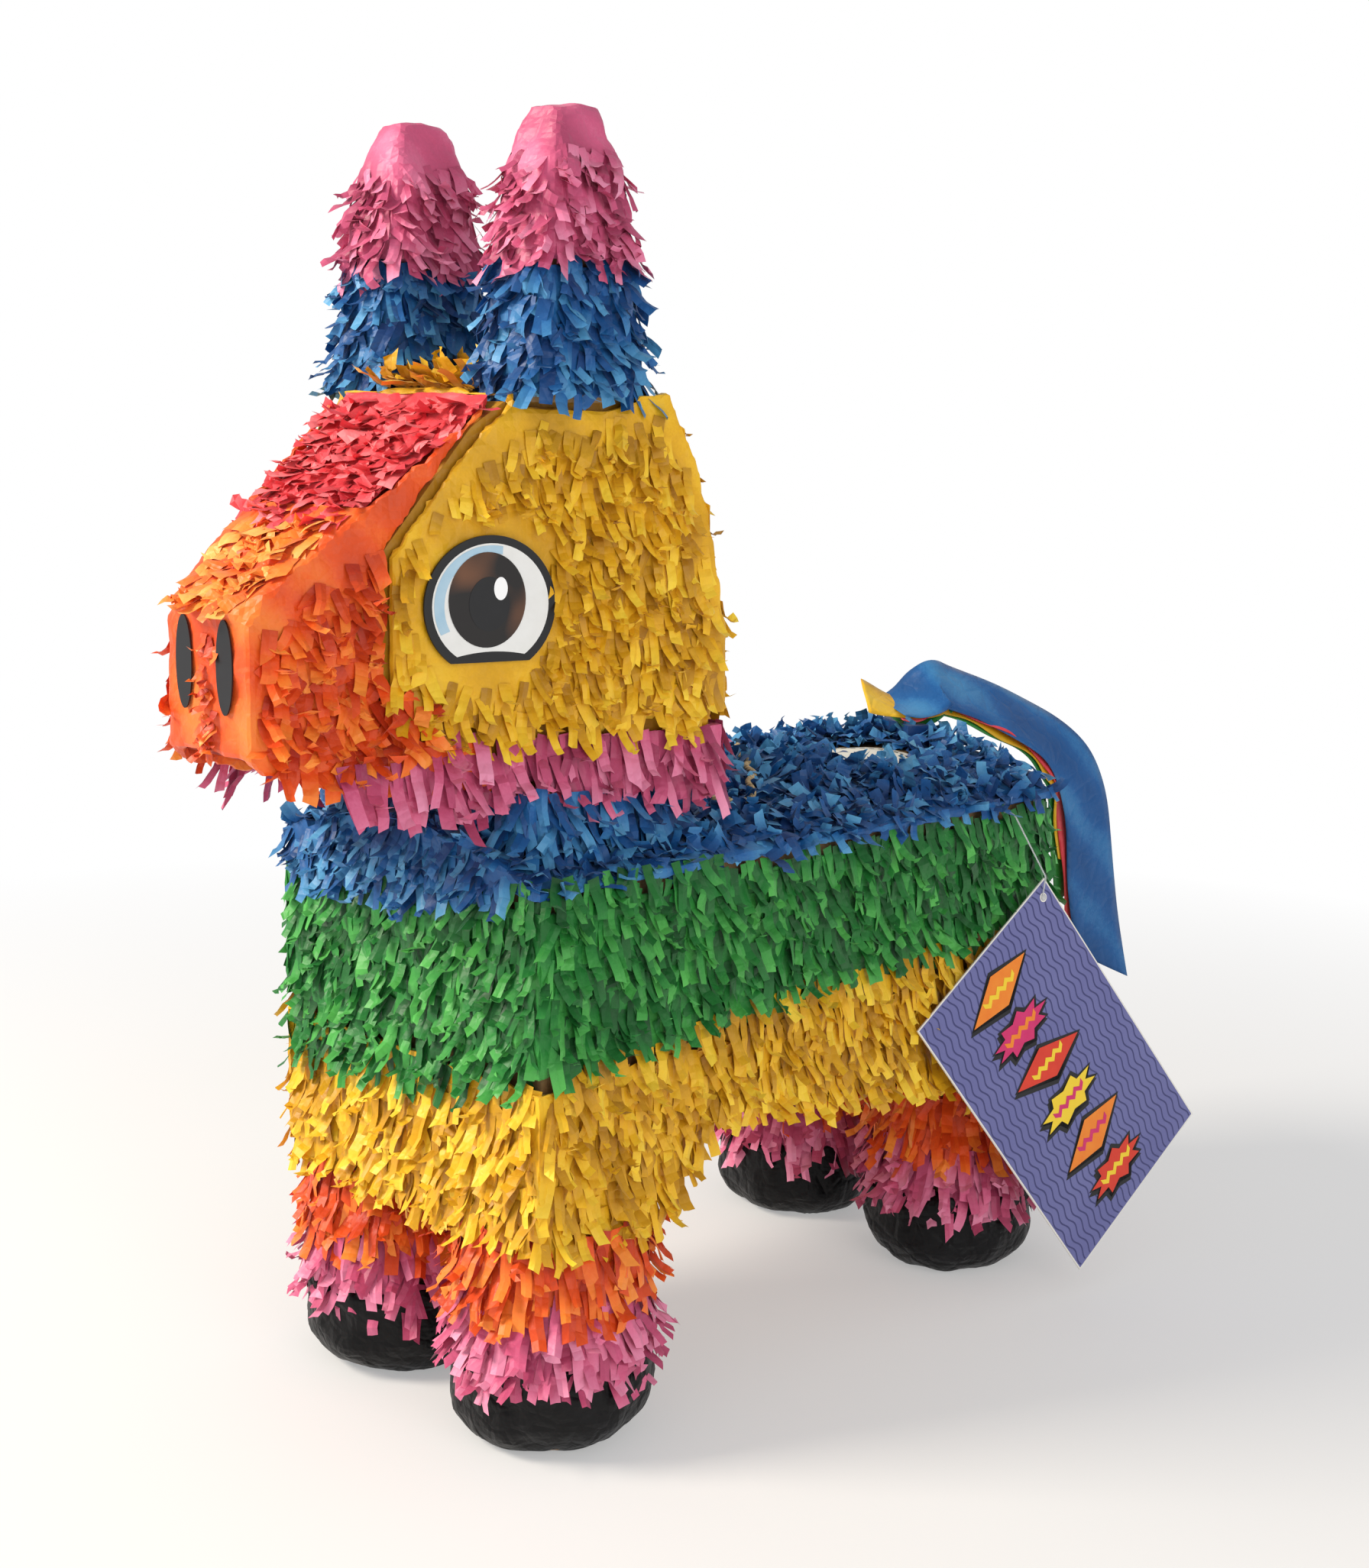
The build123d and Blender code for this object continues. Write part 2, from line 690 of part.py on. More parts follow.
# Tag: a card hung by one corner from a stiff plastic fastener in the donkey's left side
across = Vector(cos(radians(tag_heading)), sin(radians(tag_heading)), 0)
outward = Vector(sin(radians(tag_heading)), -cos(radians(tag_heading)), 0)
rise = Vector(0, 0, 1) * cos(radians(tag_lean)) - outward * sin(radians(tag_lean))
tag_left = -(across * cos(radians(tag_turn)) + rise * sin(radians(tag_turn)))
tag_down = across * sin(radians(tag_turn)) - rise * cos(radians(tag_turn))
tag_plane = Plane(tag_corner, x_dir=tag_left, z_dir=tag_left.cross(tag_down))
with BuildPart() as tag:
    with BuildSketch(tag_plane):
        Rectangle(tag_width, tag_height, align=(Align.MIN, Align.MIN))
        with Locations((tag_inset, tag_inset)):
            Circle(tag_hole, mode=Mode.SUBTRACT)
    extrude(amount=tag_card / 2, both=True)
pieces["tag"] = tag

hole_at = Vector(tag_corner) + (tag_left + tag_down) * tag_inset
pin_at = Vector(coat_half, *tag_pin)
knee = pin_at + Vector(fastener_out, 0, 0)
drop = hole_at + Vector(fastener_drop)
with BuildPart() as tag_fastener:
    with BuildLine() as clip:
        FilletPolyline(pin_at - Vector(side_fringe, 0, 0), knee, drop, hole_at, radius=fastener_bend)
    with BuildSketch(Plane(clip.line @ 0, z_dir=clip.line % 0)):
        Circle(fastener_r)
    sweep()
    with Locations(hole_at):
        Sphere(tag_hole - toggle_clear)
pieces["tag_fastener"] = tag_fastener

os.makedirs("parts", exist_ok=True)
for name, piece in pieces.items():
    piece.part.label = name
    export_step(piece.part, f"parts/{name}.step")
print(len(pieces), "pieces")
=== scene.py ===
# %% [markdown]
# # A donkey piñata in tissue fringe
# A piñata is a cardboard donkey that is dressed in bands of cut tissue paper. The cardboard
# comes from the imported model. This lesson dresses it: crumpled paper under thousands of cut
# tufts, paper stickers, a printed tag, a twine loop and a crepe tail.

# %% Load the frame
from functools import partial
from math import cos, pi, radians, sin, sqrt

import bpy
import numpy as np
from mathutils import Matrix, Vector


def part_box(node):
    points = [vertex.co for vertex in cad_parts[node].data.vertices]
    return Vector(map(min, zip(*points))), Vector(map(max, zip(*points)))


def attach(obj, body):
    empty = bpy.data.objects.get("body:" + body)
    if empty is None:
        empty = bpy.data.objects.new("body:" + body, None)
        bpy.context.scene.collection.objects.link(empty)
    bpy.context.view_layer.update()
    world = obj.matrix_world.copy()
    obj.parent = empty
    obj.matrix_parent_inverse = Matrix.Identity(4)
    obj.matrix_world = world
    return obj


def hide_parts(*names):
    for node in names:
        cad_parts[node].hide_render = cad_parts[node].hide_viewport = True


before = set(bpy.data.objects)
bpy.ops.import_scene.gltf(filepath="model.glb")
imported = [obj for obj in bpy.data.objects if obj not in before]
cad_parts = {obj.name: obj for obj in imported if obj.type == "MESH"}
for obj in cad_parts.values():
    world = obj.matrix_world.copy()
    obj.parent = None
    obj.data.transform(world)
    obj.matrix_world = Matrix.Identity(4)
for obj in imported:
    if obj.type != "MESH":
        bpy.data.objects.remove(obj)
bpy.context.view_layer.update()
mm = 0.001
dice = np.random.default_rng(7)


def box_mm(node):
    """A node's lowest and highest corners in millimetres."""
    low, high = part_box(node)
    return np.array(low) / mm, np.array(high) / mm


def in_scene(name, data):
    """A new object with this data, in the scene."""
    piece = bpy.data.objects.new(name, data)
    bpy.context.scene.collection.objects.link(piece)
    return piece


def new_mesh(name, points, faces, material, smooth=False):
    """A mesh of one material from points in metres."""
    mesh = bpy.data.meshes.new(name)
    mesh.from_pydata(points, [], faces)
    mesh.materials.append(material)
    mesh.polygons.foreach_set("use_smooth", [smooth] * len(mesh.polygons))
    return mesh


def vertex_spots(mesh):
    """A mesh's vertices as rows of X, Y and Z."""
    spots = np.empty(3 * len(mesh.vertices))
    mesh.vertices.foreach_get("co", spots)
    return spots.reshape(-1, 3)


def line_length(spots):
    """The length of a line through these points."""
    return float(np.linalg.norm(np.diff(spots, axis=0), axis=1).sum())


# %% [markdown]
# ## The camera
# The camera stands ahead of the donkey's left shoulder, a little above its eyes. A long
# lens keeps the legs upright. The view is set by three turns: heading, tilt and a slight roll.

# %% Camera
camera_data = bpy.data.cameras.new("camera")
camera_data.sensor_width = 36.0
camera_data.lens = 48.41
camera = in_scene("camera", camera_data)
turn = Matrix.Rotation(radians(44.43), 4, "Z") @ Matrix.Rotation(radians(90 - 10.30), 4, "X")
turn = turn @ Matrix.Rotation(radians(1.03), 4, "Z")
camera.matrix_world = Matrix.Translation((0.69974, -0.72377, 0.44554)) @ turn
bpy.context.scene.camera = camera
bpy.context.scene.view_settings.view_transform = "Standard"
print("camera at", tuple(round(v, 3) for v in camera.location))

# %% [markdown]
# ## Measures from the cardboard
# Every tuft is rooted on the board, so the board's own boxes give the places: the width of
# the body, the legs' axes and the heights of the bands. The head narrows towards the nose,
# and its half width follows one straight rule in plan.

# %% Measures
side_low, side_high = box_mm("side_left")
chest_low, _ = box_mm("chest_panel")
_, rump_high = box_mm("rump_panel")
_, back_high = box_mm("back_panel")
body_half = side_high[0]
body_front, body_rear = chest_low[1], rump_high[1]
body_floor, body_top = side_low[2], 250.0
crown = back_high[2] - body_top
arch_r = (body_half**2 + crown**2) / (2 * crown)
arch_z = body_top + crown - arch_r
back_fringe = box_mm("fringe_body_blue")[1][2] - back_high[2]
plan_half, plan_y, plan_taper = 36.0, -225.0, 0.255
plan_stretch = sqrt(1 + plan_taper**2)
board = 3.0
flap_x, flap_y = 8.0, 108.0  # middle of the fill flap
corners = ("front_left", "front_right", "rear_left", "rear_right")
sides = (("left", 1), ("right", -1))
print("body", body_half, body_front, body_rear, "arch radius", round(arch_r, 1))


def head_half(y, grow=0.0):
    """Half the head's width at y, moved out by grow."""
    return plan_half + plan_taper * (y - plan_y) + grow * plan_stretch


def arch_height(x, grow=0.0):
    """Height of the back's arch at x, raised by grow."""
    return arch_z + np.sqrt((arch_r + grow) ** 2 - np.asarray(x) ** 2)


def belly_height(y):
    """Height of the body's lower edge at y: low over the legs, higher between them."""
    return np.interp(y, [-108, -72, 98, 112], [body_floor, 136.0, 114.0, body_floor])


# %% [markdown]
# ## Paper and board materials
# Tissue takes dye unevenly and shows each crease as a lighter line. One node group gives
# that to every colour: it mixes a deep, a middle and a light tone by each tuft's or wrap's
# shade value, a slow cloud of dye and fine creases, and puts out a height for the bump. On the
# tufts that shade value is a random tone per tuft plus painted shade at the root and painted
# light at the tip. On the twine it is mostly painted shade between the strands.


# %% Crumpled tissue as a node group
def new_group(name, inputs, outputs):
    """An empty shader node group with named sockets."""
    group = bpy.data.node_groups.new(name, "ShaderNodeTree")
    for label, kind, value in inputs:
        socket = group.interface.new_socket(label, in_out="INPUT", socket_type=kind)
        socket.default_value = value
    for label, kind in outputs:
        group.interface.new_socket(label, in_out="OUTPUT", socket_type=kind)
    return group, group.nodes.new("NodeGroupInput"), group.nodes.new("NodeGroupOutput")


def add_node(tree, kind, **values):
    """A shader node whose inputs have these values."""
    node = tree.nodes.new(f"ShaderNode{kind}")
    for label, value in values.items():
        node.inputs[label].default_value = value
    return node


def maths(tree, kind, a, b):
    """A math node with two values or links."""
    node = add_node(tree, "Math")
    node.operation = kind
    for socket, value in zip(node.inputs, (a, b)):
        if isinstance(value, (int, float)):
            socket.default_value = value
        else:
            tree.links.new(value, socket)
    return node.outputs[0]


def scaled(tree, value, gain, start=0.0):
    """A value's distance from start, times a gain."""
    if start:
        value = maths(tree, "SUBTRACT", value, start)
    return maths(tree, "MULTIPLY", value, gain)


def clamped(tree, value):
    """A value held between nothing and one."""
    node = add_node(tree, "Clamp")
    tree.links.new(value, node.inputs["Value"])
    return node.outputs[0]


def mix(tree, amount, a, b, how="MIX"):
    """A colour mix node with links."""
    node = add_node(tree, "Mix")
    node.data_type = "RGBA"
    node.blend_type = how
    for socket, value in ((node.inputs["Factor"], amount), (node.inputs["A"], a), (node.inputs["B"], b)):
        if isinstance(value, (int, float, tuple)):
            socket.default_value = value
        else:
            tree.links.new(value, socket)
    return node.outputs["Result"]


def place(tree):
    """Coordinates that stay with the object: its own, in metres."""
    return add_node(tree, "TexCoord").outputs["Object"]


def noise(tree, where, scale, detail=3.0, rough=0.55):
    """A noise texture's value."""
    node = add_node(tree, "TexNoise", Scale=scale, Detail=detail, Roughness=rough)
    tree.links.new(where, node.inputs["Vector"])
    return node.outputs["Fac"]


tissue, tissue_in, tissue_out = new_group(
    "Crumpled tissue",
    [
        ("Deep", "NodeSocketColor", (0.1, 0.1, 0.1, 1)),
        ("Middle", "NodeSocketColor", (0.5, 0.5, 0.5, 1)),
        ("Light", "NodeSocketColor", (0.9, 0.9, 0.9, 1)),
        ("Crease depth", "NodeSocketFloat", 0.5),
    ],
    [("Colour", "NodeSocketColor"), ("Height", "NodeSocketFloat")],
)
where = place(tissue)
shade = add_node(tissue, "Attribute")
shade.attribute_name = "shade"
dye = noise(tissue, where, 45.0)
crumple = noise(tissue, where, 160.0, detail=2.0)
fibre = noise(tissue, where, 900.0, detail=2.0)
crease = add_node(tissue, "TexVoronoi", Scale=95.0)
crease.feature = "DISTANCE_TO_EDGE"
tissue.links.new(where, crease.inputs["Vector"])
line = maths(tissue, "MINIMUM", scaled(tissue, crease.outputs["Distance"], 6.0), 1.0)
tone = scaled(tissue, shade.outputs["Fac"], 0.8)
for cloud, share in ((dye, 0.35), (fibre, 0.12)):
    tone = maths(tissue, "ADD", tone, scaled(tissue, cloud, share))
low_mix = clamped(tissue, scaled(tissue, tone, 1.7, start=0.1))
high_mix = clamped(tissue, scaled(tissue, tone, 1.8, start=0.62))
colour = mix(tissue, low_mix, tissue_in.outputs["Deep"], tissue_in.outputs["Middle"])
colour = mix(tissue, high_mix, colour, tissue_in.outputs["Light"])
tissue.links.new(colour, tissue_out.inputs["Colour"])
height = maths(tissue, "ADD", scaled(tissue, line, 0.35), scaled(tissue, crumple, 0.9))
height = maths(tissue, "MULTIPLY", height, tissue_in.outputs["Crease depth"])
tissue.links.new(height, tissue_out.inputs["Height"])
print("tissue group has", len(tissue.nodes), "nodes")


# %% A finished paper material
def linear(red, green, blue):
    """A colour given as 0-255 screen values, as Blender's linear colour."""
    out = []
    for value in (red, green, blue):
        v = value / 255
        out.append(v / 12.92 if v <= 0.04045 else ((v + 0.055) / 1.055) ** 2.4)
    return (*out, 1.0)


def tinted(tree, amount, dark, pale, surface):
    """Feeds a surface's colour with a mix of two screen colours."""
    tree.links.new(mix(tree, amount, linear(*dark), linear(*pale)), surface.inputs["Base Color"])


def shader(name, roughness=0.6, specular=0.3, sheen=0.0):
    """A material whose Principled shader is ready, and that shader."""
    material = bpy.data.materials.new(name)
    material.use_nodes = True
    surface = material.node_tree.nodes["Principled BSDF"]
    surface.inputs["Roughness"].default_value = roughness
    surface.inputs["Specular IOR Level"].default_value = specular
    surface.inputs["Sheen Weight"].default_value = sheen
    return material, surface


def bump(material, height, surface, strength, distance):
    """Feeds a height to the shader's normal."""
    node = add_node(material.node_tree, "Bump", Strength=strength, Distance=distance)
    material.node_tree.links.new(height, node.inputs["Height"])
    material.node_tree.links.new(node.outputs["Normal"], surface.inputs["Normal"])


def tissue_paper(name, deep, middle, light, crease=1.0):
    """Dyed tissue in three tones of one colour; on tufts and twine the tone also shows painted shade and
    light.
    """
    material, surface = shader(name, roughness=0.46, specular=0.38, sheen=0.1)
    tones = {"Deep": linear(*deep), "Middle": linear(*middle), "Light": linear(*light)}
    group = add_node(material.node_tree, "Group")
    group.node_tree = tissue
    for label, value in (tones | {"Crease depth": crease}).items():
        group.inputs[label].default_value = value
    material.node_tree.links.new(group.outputs["Colour"], surface.inputs["Base Color"])
    bump(material, group.outputs["Height"], surface, 0.5, 0.0012)
    return material


dyes = {
    "pink": ((135, 30, 70), (215, 92, 134), (246, 164, 196)),
    "blue": ((3, 36, 92), (14, 92, 158), (98, 176, 218)),
    "yellow": ((150, 98, 3), (236, 178, 12), (255, 222, 62)),
    "red": ((165, 16, 30), (236, 62, 74), (255, 142, 146)),
    "orange": ((165, 28, 3), (240, 86, 14), (255, 165, 62)),
    "green": ((6, 52, 22), (26, 125, 46), (96, 196, 88)),
}
papers = {name: tissue_paper(f"{name} tissue", *tones) for name, tones in dyes.items()}
# The "glow" paper is the orange tissue painted lighter: painted light and highlights where the key lamp falls
# on the slope from brow to nose. Its slot stays orange tissue.
painted_sunlight = (232, 82, 12), (250, 138, 34), (255, 204, 110)
papers["glow"] = tissue_paper("sunlit orange tissue", *painted_sunlight, crease=1.5)
papers["black"] = tissue_paper("black tissue", (1, 1, 2), (5, 5, 7), (18, 18, 21), crease=2.0)
black_shader = papers["black"].node_tree.nodes["Principled BSDF"]
black_shader.inputs["Specular IOR Level"].default_value = 0.22
black_shader.inputs["Sheen Weight"].default_value = 0.0
slot_of = {colour: f"{colour}_tissue" for colour in papers}
slot_of |= {"glow": "orange_tissue", "black": "black_paper"}
print(len(papers), "papers")

# %% [markdown]
# ## Crumpled paper under the tufts
# Each band first gets a wrap of plain tissue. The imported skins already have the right
# outline, so a copy is remeshed into small even faces, drawn in towards the board to leave
# room for the tufts, and crumpled with a cloud texture.


# %% Wraps
def finished_mesh(piece, name):
    """The piece with its modifiers applied, as a new object."""
    bpy.context.view_layer.update()
    graph = bpy.context.evaluated_depsgraph_get()
    mesh = bpy.data.meshes.new_from_object(piece.evaluated_get(graph))
    bpy.data.objects.remove(piece)
    return in_scene(name, mesh)


def set_shade(mesh, low, high, seed):
    """Gives each vertex a shade from a slow wave over the piece."""
    spots = vertex_spots(mesh)
    wave = np.sin(spots @ np.array([95.0, 71.0, 83.0]) + seed) * np.sin(spots @ np.array([-61.0, 88.0, 57.0]))
    attribute = mesh.attributes.new("shade", "FLOAT", "POINT")
    attribute.data.foreach_set("value", (low + (high - low) * (0.5 + 0.5 * wave)).astype(np.float32))


clouds, folds = (bpy.data.textures.new(name, "CLOUDS") for name in ("crumple", "folds"))
clouds.noise_scale, folds.noise_scale = 0.012, 0.022


def wrap(node, colour, inset, crumple=0.0014, voxel=0.0032, shades=(0.25, 0.7), texture=clouds):
    """Dresses one packed skin in crumpled tissue."""
    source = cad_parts[node]
    piece = in_scene("wrap", source.data.copy())
    remesh = piece.modifiers.new("remesh", "REMESH")
    remesh.mode = "VOXEL"
    remesh.voxel_size = voxel
    smooth = piece.modifiers.new("smooth", "SMOOTH")
    smooth.iterations = 4
    shrink = piece.modifiers.new("shrink", "DISPLACE")
    shrink.strength = -inset * mm
    shrink.mid_level = 0
    crush = piece.modifiers.new("crush", "DISPLACE")
    crush.texture = texture
    crush.texture_coords = "GLOBAL"
    crush.strength = 2 * crumple
    piece = finished_mesh(piece, f"wrap_{node.removeprefix('fringe_')}")
    piece.data.materials.clear()
    piece.data.materials.append(papers[colour])
    set_shade(piece.data, *shades, seed=len(node))
    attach(piece, "carcass")
    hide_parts(node)
    return piece


for corner in corners:
    wrap(f"fringe_pink_{corner}", "pink", 3.5)
    wrap(f"fringe_orange_{corner}", "orange", 3.5)
for side, _ in sides:
    wrap(f"fringe_ear_pink_{side}", "pink", 0.2, crumple=0.0034, shades=(0.1, 0.65), texture=folds)
    wrap(f"fringe_ear_blue_{side}", "blue", 3.0, crumple=0.0022)
wrap("fringe_body_yellow", "yellow", 3.5, crumple=0.0022)
wrap("fringe_body_green", "green", 3.5, crumple=0.0022)
wrap("fringe_body_blue", "blue", 2.5, crumple=0.002, shades=(0.3, 0.75))
wrap("fringe_neck", "blue", 3.5)
wrap("fringe_head_yellow", "yellow", 1.8, crumple=0.0013, shades=(0.3, 0.62))
wrap("fringe_jaw_pink", "pink", 3.0)
wrap("fringe_forehead_red", "red", 2.0)
wrap("fringe_muzzle_orange", "orange", 0.8, crumple=0.0016, shades=(0.3, 0.75))
print("wraps done")

# %% [markdown]
# ## Cut tissue tufts
# A real fringe is a folded sheet that is cut into strips and glued on in rows from the
# bottom up. Each tuft here is a short ribbon of ten small faces with a crease along its
# middle. It leaves the wrap at its root, lifts, sways and curls, and its end is cut
# slanting. Numpy bends all the tufts of a band at once.


# %% Tufts
def unit(vectors):
    """Vectors of length one."""
    return vectors / np.maximum(np.linalg.norm(vectors, axis=-1, keepdims=True), 1e-9)


tuft_floor = 1.5  # tufts stay this far above the floor


def tufts(name, colour, roots, outward, hang, length, width, lift, sway, curl):
    """One band's tufts as a single mesh: roots in mm, angles in degrees."""
    count, steps = len(roots), 5
    outward, hang = unit(outward), unit(hang)
    across = unit(np.cross(hang, outward))
    length = np.broadcast_to(length, count) * dice.uniform(0.75, 1.2, count)
    width = width * dice.uniform(0.75, 1.25, count)
    rise = np.radians(lift[0] + (lift[1] - lift[0]) * dice.random(count) ** 1.5)
    yaw = np.radians(dice.normal(0, sway, count))
    roll_up = np.radians(dice.normal(curl[0], curl[1], count))
    drift = np.radians(dice.normal(0, sway, count))
    twist = np.radians(dice.normal(0, 17, count))
    fold = dice.normal(0.05, 0.13, count) * width
    slant = dice.normal(0, 0.15, count) * width
    spots = np.empty((count, steps + 1, 3, 3))
    middle = roots + across * dice.normal(0, 0.8, (count, 1))
    for step in range(steps + 1):
        t = step / steps
        pitch = rise + roll_up * t**1.6 + np.radians(dice.normal(0, 11, count)) * (step > 0)
        sidle = yaw + drift * t
        ahead = (hang * np.cos(sidle)[:, None] + across * np.sin(sidle)[:, None]) * np.cos(pitch)[:, None]
        ahead = ahead + outward * np.sin(pitch)[:, None]
        face = unit(np.cross(across, ahead))
        face = np.where((np.sum(face * outward, axis=1) < 0)[:, None], -face, face)
        tilt = twist * t
        wide = unit(np.cross(ahead, face)) * np.cos(tilt)[:, None] + face * np.sin(tilt)[:, None]
        half = (width * (0.5 - 0.06 * t))[:, None]
        cut = ahead * (slant * (step == steps))[:, None]
        spots[:, step, 0] = middle - wide * half - cut
        spots[:, step, 1] = middle + face * (fold * (0.4 + 0.6 * t))[:, None]
        spots[:, step, 2] = middle + wide * half + cut
        middle = middle + ahead * (length / steps)[:, None]
    spots = spots.reshape(-1, 3)
    spots[:, 2] = np.maximum(spots[:, 2], tuft_floor)
    first = (np.arange(count) * 3 * (steps + 1))[:, None, None]
    corner = (np.arange(steps) * 3)[None, :, None] + np.arange(2)[None, None, :]
    start = (first + corner).reshape(-1)
    faces = np.stack([start, start + 1, start + 4, start + 3], axis=1)
    mesh = new_mesh(name, (spots * mm).tolist(), faces.tolist(), papers[colour])
    # Shade value: a random tone per tuft, plus a ramp along it that is painted shade at the root and painted
    # light at the tip.
    tone = dice.uniform(0.05, 0.85, count)[:, None] + np.linspace(-0.25, 0.22, steps + 1)[None, :]
    tone = np.repeat(tone.reshape(-1), 3).astype(np.float32)
    mesh.attributes.new("shade", "FLOAT", "POINT").data.foreach_set("value", np.clip(tone, 0, 1))
    columns = int(np.ceil(np.sqrt(count)))
    cell = np.arange(count)
    u = ((cell % columns)[:, None, None] + 0.1 + 0.4 * np.arange(3)[None, None, :]) / columns
    up = 0.06 + 0.88 * np.linspace(0, 1, steps + 1)
    v = ((cell // columns)[:, None, None] + up[None, :, None]) / columns
    u, v = np.broadcast_arrays(u, v)
    flat = np.stack([u, v], axis=-1).reshape(-1, 2)[faces.reshape(-1)]
    mesh.uv_layers.new(name="OFBake").data.foreach_set("uv", flat.reshape(-1).astype(np.float32))
    piece = in_scene(name, mesh)
    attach(piece, "carcass")
    print(name, count, "tufts")


# %% [markdown]
# ## Rows round upright walls
# The body, neck, legs and ears are upright walls, so their rows run round a rounded
# rectangle in plan. The path is walked at even steps, and each step gives a root and the
# direction that faces out.


# %% Plan paths
def plan_loop(half_x, front, rear, radius, step):
    """Even steps round a rounded rectangle: points and outward directions in plan."""
    points, facing = [], []
    turns = [
        (half_x - radius, front + radius, -90),
        (half_x - radius, rear - radius, 0),
        (-half_x + radius, rear - radius, 90),
        (-half_x + radius, front + radius, 180),
    ]
    for number, (x, y, angle) in enumerate(turns):
        for turn in np.linspace(angle, angle + 90, max(2, int(radius * pi / 2 / step) + 1)):
            points.append((x + radius * cos(radians(turn)), y + radius * sin(radians(turn))))
            facing.append((cos(radians(turn)), sin(radians(turn))))
        after = turns[(number + 1) % 4]
        start = np.array(points[-1])
        away = np.array(facing[-1])
        end = np.array(after[:2]) + radius * away
        pieces = max(1, int(np.linalg.norm(end - start) / step))
        for share in (np.arange(pieces) + 0.5) / pieces:
            points.append(tuple(start + (end - start) * share))
            facing.append(tuple(away))
    return np.array(points), np.array(facing)


def upright_rows(loop, heights, wobble=1.6):
    """Roots on one loop at several heights, staggered and shaken."""
    points, facing = loop
    roots, outward = [], []
    for number, height in enumerate(heights):
        slide = np.stack([-facing[:, 1], facing[:, 0]], axis=1)
        moved = points + slide * (dice.normal(0, 1.3, (len(points), 1)) + 3.0 * (number % 2))
        level = height + dice.normal(0, wobble, len(points))
        roots.append(np.column_stack([moved, level]))
        outward.append(in_space(facing))
    return np.concatenate(roots), np.concatenate(outward)


down = np.array([0.0, 0.0, -1.0])

# %% [markdown]
# ## The body's bands
# The bands' lower tips lie level on the flanks and slant across the chest. Each rule below
# gives their height at a place, and a root is kept when its tuft ends inside its own band.


# %% Where the bands meet
def green_tips(x, y):
    """Height of the green band's tips: level on the flanks, falling across the chest."""
    flank = np.interp(y, [-150, -60, 0], [170, 176, 179])
    chest = np.interp(x, [-75, 30, 88], [140, 152, 166])
    return np.where(y < body_front - 1, chest, flank)


def blue_tips(x, y):
    """Height of the blue band's tips."""
    flank = np.interp(y, [-175, -60, 0], [251, 246, 243])
    chest = np.interp(x, [-88, 6, 88], [229, 230, 252])
    return np.where(y < body_front - 1, chest, flank)


def falls(roots):
    """Straight down, for every root."""
    return np.tile(down, (len(roots), 1))


def in_space(facing):
    """Outward directions in plan as directions in space."""
    return np.column_stack([facing, np.zeros(len(facing))])


def off_arch(roots):
    """Outward directions on the back's arch."""
    return unit(np.column_stack([roots[:, 0], np.zeros(len(roots)), roots[:, 2] - arch_z]))


# %% Body bands
off_board = 5.6  # how far the roots stand off the board
flank_cut = (5.4, (2, 26), 12, (22, 46))  # width, lift, sway and curl
body_loop = plan_loop(body_half + off_board, body_front - off_board, body_rear + off_board, 9, 4.8)
roots, outward = upright_rows(body_loop, np.arange(body_floor + 9, 190, 7.6))
on_side = np.abs(outward[:, 0]) > 0.6
floor = np.where(on_side, belly_height(roots[:, 1]), body_floor)
keep = (roots[:, 2] > floor + 6) & (roots[:, 2] < green_tips(roots[:, 0], roots[:, 1]) + 9)
hem_points, hem_facing = body_loop
hem_floor = np.where(np.abs(hem_facing[:, 0]) > 0.6, belly_height(hem_points[:, 1]), body_floor)
hem = np.column_stack([hem_points, hem_floor + 9 + dice.normal(0, 1.5, len(hem_points))])
roots = np.concatenate([roots[keep], hem])
outward = np.concatenate([outward[keep], in_space(hem_facing)])
tufts("tufts_body_yellow", "yellow", roots, outward, falls(roots), 18, *flank_cut)

roots, outward = upright_rows(body_loop, np.arange(146, body_top + 8, 7.2))
tips = green_tips(roots[:, 0], roots[:, 1])
keep = (roots[:, 2] > tips + 12) & (roots[:, 2] < blue_tips(roots[:, 0], roots[:, 1]) + 7)
roots, outward = roots[keep], outward[keep]
tufts("tufts_body_green", "green", roots, outward, falls(roots), 17, *flank_cut)

roots, outward = upright_rows(body_loop, np.arange(236, body_top + 7, 5.4))
ends = np.abs(body_loop[1][:, 1]) > 0.5
plan, facing = body_loop[0][ends], body_loop[1][ends]
for drop_down in (1.0, 5.5, 10.0):
    edge = arch_height(np.clip(plan[:, 0], -body_half, body_half), 3.5)
    edge = edge - drop_down + dice.normal(0, 1, len(plan))
    roots = np.concatenate([roots, np.column_stack([plan, edge])])
    outward = np.concatenate([outward, in_space(facing)])
keep = roots[:, 2] > blue_tips(roots[:, 0], roots[:, 1]) + 9
roots, outward = roots[keep], outward[keep]
length = np.where(np.abs(outward[:, 0]) > 0.6, 11.0, 17.0)
tufts("tufts_body_blue", "blue", roots, outward, falls(roots), length, 5.6, (6, 34), 14, (18, 44))

# %% The back: short bits in every direction over the arch
spread = np.array([(x, y) for x in np.arange(-88, 88.1, 4.8) for y in np.arange(-180, 173, 5.0)])
spread = spread + dice.normal(0, 1.8, spread.shape)
on_label = np.hypot(spread[:, 0] - flap_x, spread[:, 1] - flap_y) < 34.5
in_neck = (np.abs(spread[:, 0]) < 60) & (spread[:, 1] > -162) & (spread[:, 1] < -86)
spread = spread[~on_label & ~in_neck]
reach = np.clip(spread[:, 0], -body_half, body_half)
swell = 4.0 * np.clip((spread[:, 1] - 20) / 60, 0, 1)
swell = swell * (np.hypot(spread[:, 0] - flap_x, spread[:, 1] - flap_y) > 40)
height = arch_height(reach, 3.8) - np.maximum(np.abs(spread[:, 0]) - 82, 0) + swell * dice.random(len(spread))
roots = np.column_stack([spread, height])
outward = off_arch(roots)
spin = dice.uniform(0, 2 * pi, len(roots))
hang = np.column_stack([np.cos(spin), np.sin(spin), np.zeros(len(roots))])
hang = unit(hang - outward * np.sum(hang * outward, axis=1)[:, None])
tufts("bits_back", "blue", roots, outward, hang, 12.0, 6.6, (4, 46), 28, (-6, 44))

